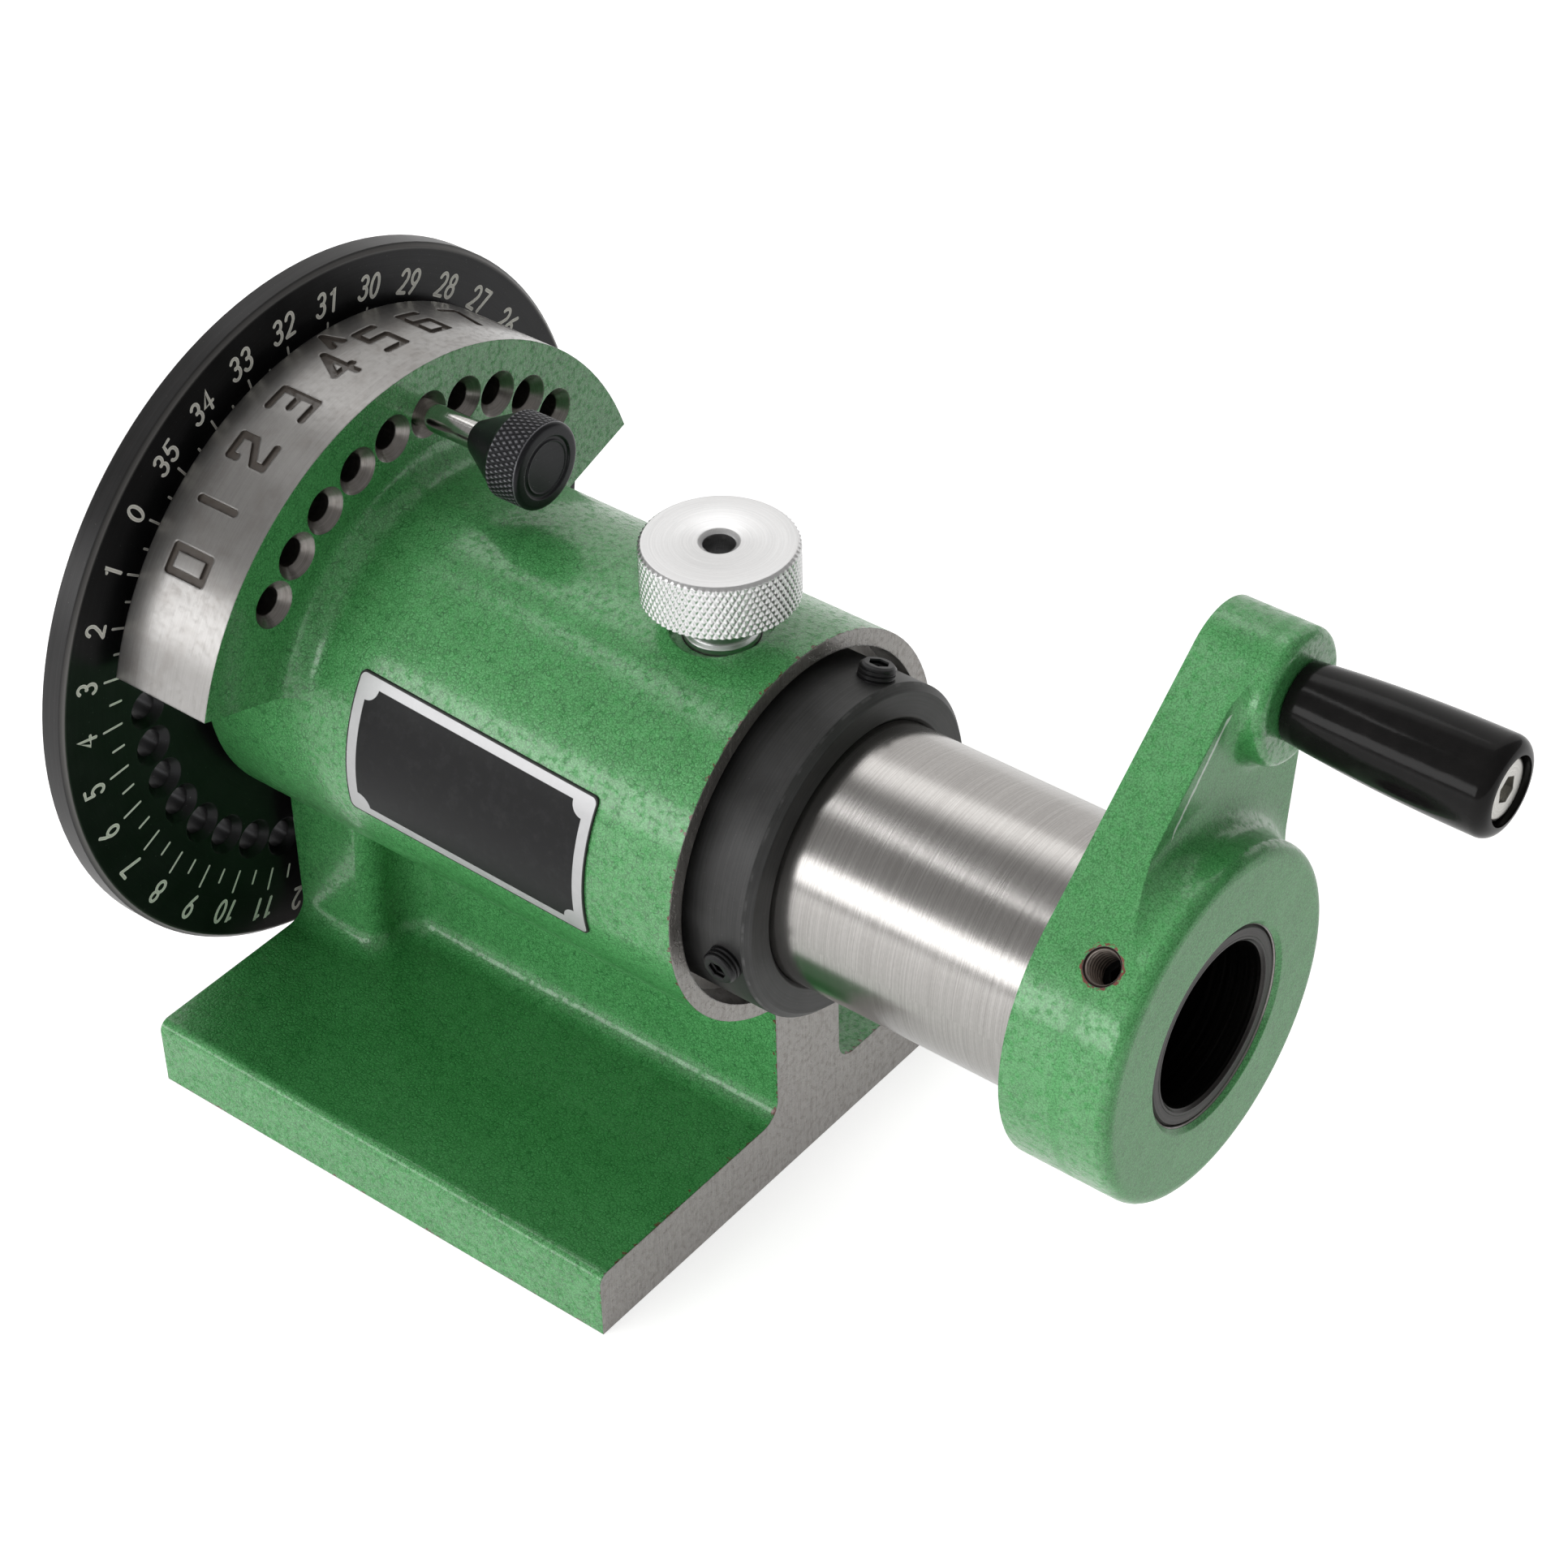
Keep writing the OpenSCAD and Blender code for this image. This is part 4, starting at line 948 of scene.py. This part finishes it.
# %% Thread in the set screw's hole
def thread_sleeve(low, high, pitch, crest, root, outer, columns=60, per_turn=12):
    """Rings of a tube along Z whose inside is a helical V thread and whose outside is plain.
    The inner radius is crest + (root - crest) |2 p - 1|, p being the place in the pitch."""
    count = int((high - low) / pitch * per_turn)
    turn = np.linspace(0.0, 2.0 * np.pi, columns, endpoint=False)[None, :]
    place = np.linspace(low, high, count)[:, None] + 0.0 * turn
    share = np.mod(place / pitch - turn / (2.0 * np.pi), 1.0)
    radius = crest + (root - crest) * np.abs(2.0 * share - 1.0)
    place = np.concatenate([place, place[[-1, 0]]])
    radius = np.concatenate([radius, np.full((2, columns), outer)])
    return np.stack([radius * np.cos(turn), radius * np.sin(turn), place], axis=-1)


tapped = Finish("tapped_iron", (0.20, 0.17, 0.15), 0.36, 0.85)
drop = (tapped.z - centre_z) * math.cos(screw_turn) - tapped.y * math.sin(screw_turn)
along = tapped.x - screw_x
# Painted light and shade: the thread's crests are pale and its roots near black.
depth = (along * along + drop * drop).math("SQRT").above(2.50, 2.80)
tapped.give("Base Color", tapped.mix(depth, (0.62, 0.55, 0.50), (0.035, 0.022, 0.018)))
rings = thread_sleeve(22.1, 29.1, 1.0, 2.48, 2.86, 2.97)
spoke = np.array([math.cos(screw_turn), math.sin(screw_turn)])
sleeve = np.stack([screw_x + rings[..., 0], spoke[0] * rings[..., 2] - spoke[1] * rings[..., 1],
                   centre_z + spoke[1] * rings[..., 2] + spoke[0] * rings[..., 1]], axis=-1)
rows, columns = sleeve.shape[:2]
faces = ring_faces(rows + 1, columns) % (rows * columns)
piece("set_screw_thread", sleeve.reshape(-1, 3), faces.tolist(), tapped, "crank")

# %% [markdown]
# The index plate counts its 36 holes. Each figure is engraved with a round cutter that follows one
# line, so a figure is a path: straight parts and arcs, the same width everywhere and with round
# ends. The paths are laid on the plate at their angles and raised by a hair, and their colour is
# paler at the sides and darker in the middle: painted light and shade of the cut's walls.

# %% Paths of the digits
def bow(middle, reach_u, reach_v, start, end, steps=14):
    """Points on an ellipse, from one angle to another in degrees."""
    turn = np.radians(np.linspace(start, end, steps))
    return np.stack([middle[0] + reach_u * np.cos(turn), middle[1] + reach_v * np.sin(turn)], 1)


DIGITS = {
    "0": [bow((0.5, 0.5), 0.42, 0.5, 90, 450, 28)],
    "1": [np.array([[0.28, 0.80], [0.62, 1.0], [0.62, 0.0]])],
    "2": [np.concatenate([bow((0.48, 0.70), 0.40, 0.30, 165, -25, 16),
                          [[0.55, 0.30], [0.06, 0.0]]]), np.array([[0.06, 0.0], [0.92, 0.0]])],
    "3": [bow((0.45, 0.75), 0.38, 0.25, 150, -90, 16), bow((0.45, 0.27), 0.43, 0.27, 90, -150, 16)],
    "4": [np.array([[0.70, 0.0], [0.70, 1.0], [0.05, 0.30], [0.98, 0.30]])],
    "5": [np.array([[0.88, 1.0], [0.24, 1.0], [0.16, 0.56]]),
          np.concatenate([[[0.16, 0.56]], bow((0.46, 0.31), 0.42, 0.31, 115, -150, 18)])],
    "6": [np.concatenate([[[0.74, 1.0], [0.40, 0.76]],
                          bow((0.48, 0.30), 0.40, 0.30, 160, 520, 26)])],
    "7": [np.array([[0.08, 1.0], [0.92, 1.0]]), np.array([[0.92, 1.0], [0.36, 0.0]])],
    "8": [bow((0.5, 0.76), 0.34, 0.24, -90, 270, 22), bow((0.5, 0.27), 0.42, 0.27, 90, 450, 24)],
    "9": [np.concatenate([bow((0.50, 0.70), 0.40, 0.30, -20, 340, 26),
                          [[0.62, 0.28], [0.30, 0.0]]])],
}
print(sum(len(paths) for paths in DIGITS.values()), "strokes for", len(DIGITS), "digits")

# %% [markdown]
# A stroke is a closed bar with five points across: a foot and a top edge on each side, and the
# middle of the top. Where two tops lay in one plane they would fight for the same pixels and show
# black spots, so every top climbs a little along its path, and each further stroke of a figure
# starts higher.

# %% Strokes
CLIMB_MM = 0.008


def ribbon(path, width, low, high, place, across_out):
    """A closed bar along a path in a plane. Its top climbs a little from start to end, so that
    a path that closes on itself never lies in its own plane. place turns (u, v, height) into
    millimetres in the jig's frame."""
    path = np.asarray(path, float)
    keep = np.concatenate([[True], np.linalg.norm(np.diff(path, axis=0), axis=1) > 1e-6])
    path = path[keep]
    way = np.gradient(path, axis=0)
    way = way / np.linalg.norm(way, axis=1)[:, None]
    left = np.stack([-way[:, 1], way[:, 0]], axis=1)
    half = width / 2
    caps = [(-0.86, 0.5), (-0.5, 0.86)]
    rows = [path[0] - way[0] * half * 0.97]
    halves = [0.24]
    ways = [left[0]]
    for back, wide in caps:
        rows.append(path[0] + way[0] * half * back)
        halves.append(wide)
        ways.append(left[0])
    for point, turn in zip(path, left):
        rows.append(point)
        halves.append(1.0)
        ways.append(turn)
    for back, wide in caps[::-1]:
        rows.append(path[-1] - way[-1] * half * back)
        halves.append(wide)
        ways.append(left[-1])
    rows.append(path[-1] + way[-1] * half * 0.97)
    halves.append(0.24)
    ways.append(left[-1])
    rows, halves, ways = np.array(rows), np.array(halves) * half, np.array(ways)
    shares = np.array([-1.0, -1.0, 0.0, 1.0, 1.0])
    heights = np.array([low, high, high, high, low])
    grid = rows[:, None, :] + ways[:, None, :] * (halves[:, None] * shares[None, :])[:, :, None]
    climb = np.linspace(0.0, CLIMB_MM, len(rows))[:, None] * (heights > low)[None, :]
    tall = heights[None, :] + climb
    across_out.append(np.concatenate([np.broadcast_to(np.abs(shares), tall.shape).reshape(-1),
                                      [0.0, 0.0]]))
    return closed_rings(place(grid[:, :, 0], grid[:, :, 1], tall))


def on_plate(angle_deg):
    """Lays a flat drawing on the index plate's crank side, its top pointing outwards."""
    turn = math.radians(angle_deg)

    def place(u, v, height):
        y = v * math.cos(turn) + u * math.sin(turn) + marks_y
        z = v * math.sin(turn) - u * math.cos(turn) + marks_z
        return np.stack([plate_back + height, y, centre_z + z], axis=-1)
    return place


print("a stroke climbs", CLIMB_MM, "mm")

# %% [markdown]
# The plate is marked at every five degrees and numbered at every ten. In the picture the circle
# of the marks is not quite in the middle of the holes: it stands 0.86 mm off and lags by three
# quarters of a degree, and that is kept. Each digit is moved by up to 0.08 mm, so that they don't
# look printed.

# %% Mark the plate
figure_high, figure_wide, figure_gap, stroke = 4.0, 2.1, 2.7, 0.64
marks_y, marks_z, marks_lag, figure_foot = -0.64, -0.57, 0.77, 55.35
all_points, all_faces, all_across = [], [], []


def add(path, width, place, layer=0):
    """Adds one stroke; each further stroke of a figure lies one layer higher."""
    high = 0.012 + layer * 2.0 * CLIMB_MM
    points, faces = ribbon(path, width, -0.05, high, place, all_across)
    start = sum(len(some) for some in all_points)
    all_points.append(points)
    all_faces.extend([[k + start for k in face] for face in faces])


slant, mark_wide = 0.22, 0.44
mark_foot, mark_middle, long_top, short_top = 49.7, 51.0, 53.6, 52.1
rough_hand = np.random.default_rng(7)
for number in range(36):
    place = on_plate(135.0 - marks_lag + 10.0 * number)
    word = str(number)
    for order, digit in enumerate(word):
        middle = (order - (len(word) - 1) / 2) * figure_gap
        shift = rough_hand.uniform(-0.08, 0.08, 2)
        for layer, path in enumerate(DIGITS[digit]):
            u = (path[:, 0] - 0.5 + (path[:, 1] - 0.5) * slant) * figure_wide
            u = u + middle + shift[0]
            v = path[:, 1] * figure_high + figure_foot + shift[1]
            add(np.stack([u, v], axis=1), stroke, place, layer)
    add([[0.0, mark_foot], [0.0, mark_middle], [0.0, long_top]], mark_wide, place)
    add([[0.0, mark_foot], [0.0, mark_middle], [0.0, short_top]], mark_wide,
        on_plate(140.0 - marks_lag + 10.0 * number))
print(len(all_points), "strokes on the plate")

# %% [markdown]
# The filling is off-white and chalky. Each point of a stroke carries how far it lies across the
# stroke, 0 in the middle and 1 at the sides, and the finish reads that to make the sides paler and
# the middle darker: painted light and shade of the cut.

# %% Fill the figures
fill = Finish("figure_fill", (0.62, 0.61, 0.54), 0.55, 0.0)
cut_side = fill.node("ShaderNodeAttribute", {"attribute_name": "across"}, output="Fac")
chalk = fill.noise(0.30, detail=3.0, roughness=0.7)
# Painted light and shade: paler at the sides of each stroke, darker in its middle, times the chalky
# grain.
shade = (cut_side.above(0.15, 0.85) * 0.28 + 0.76) * (chalk * 0.5 + 0.80)
fill.give("Base Color", fill.mix(shade, (0.16, 0.155, 0.135), (0.96, 0.95, 0.87)))
fill.give("Roughness", chalk * 0.3 + 0.4)
fill.give("Normal", fill.bump(cut_side * 0.5 + chalk * 0.5, 0.04))
figures = piece("plate_figures", np.concatenate(all_points), all_faces, fill, "spindle")
values = figures.data.attributes.new("across", "FLOAT", "POINT")
values.data.foreach_set("value", np.concatenate(all_across).astype(np.float32))
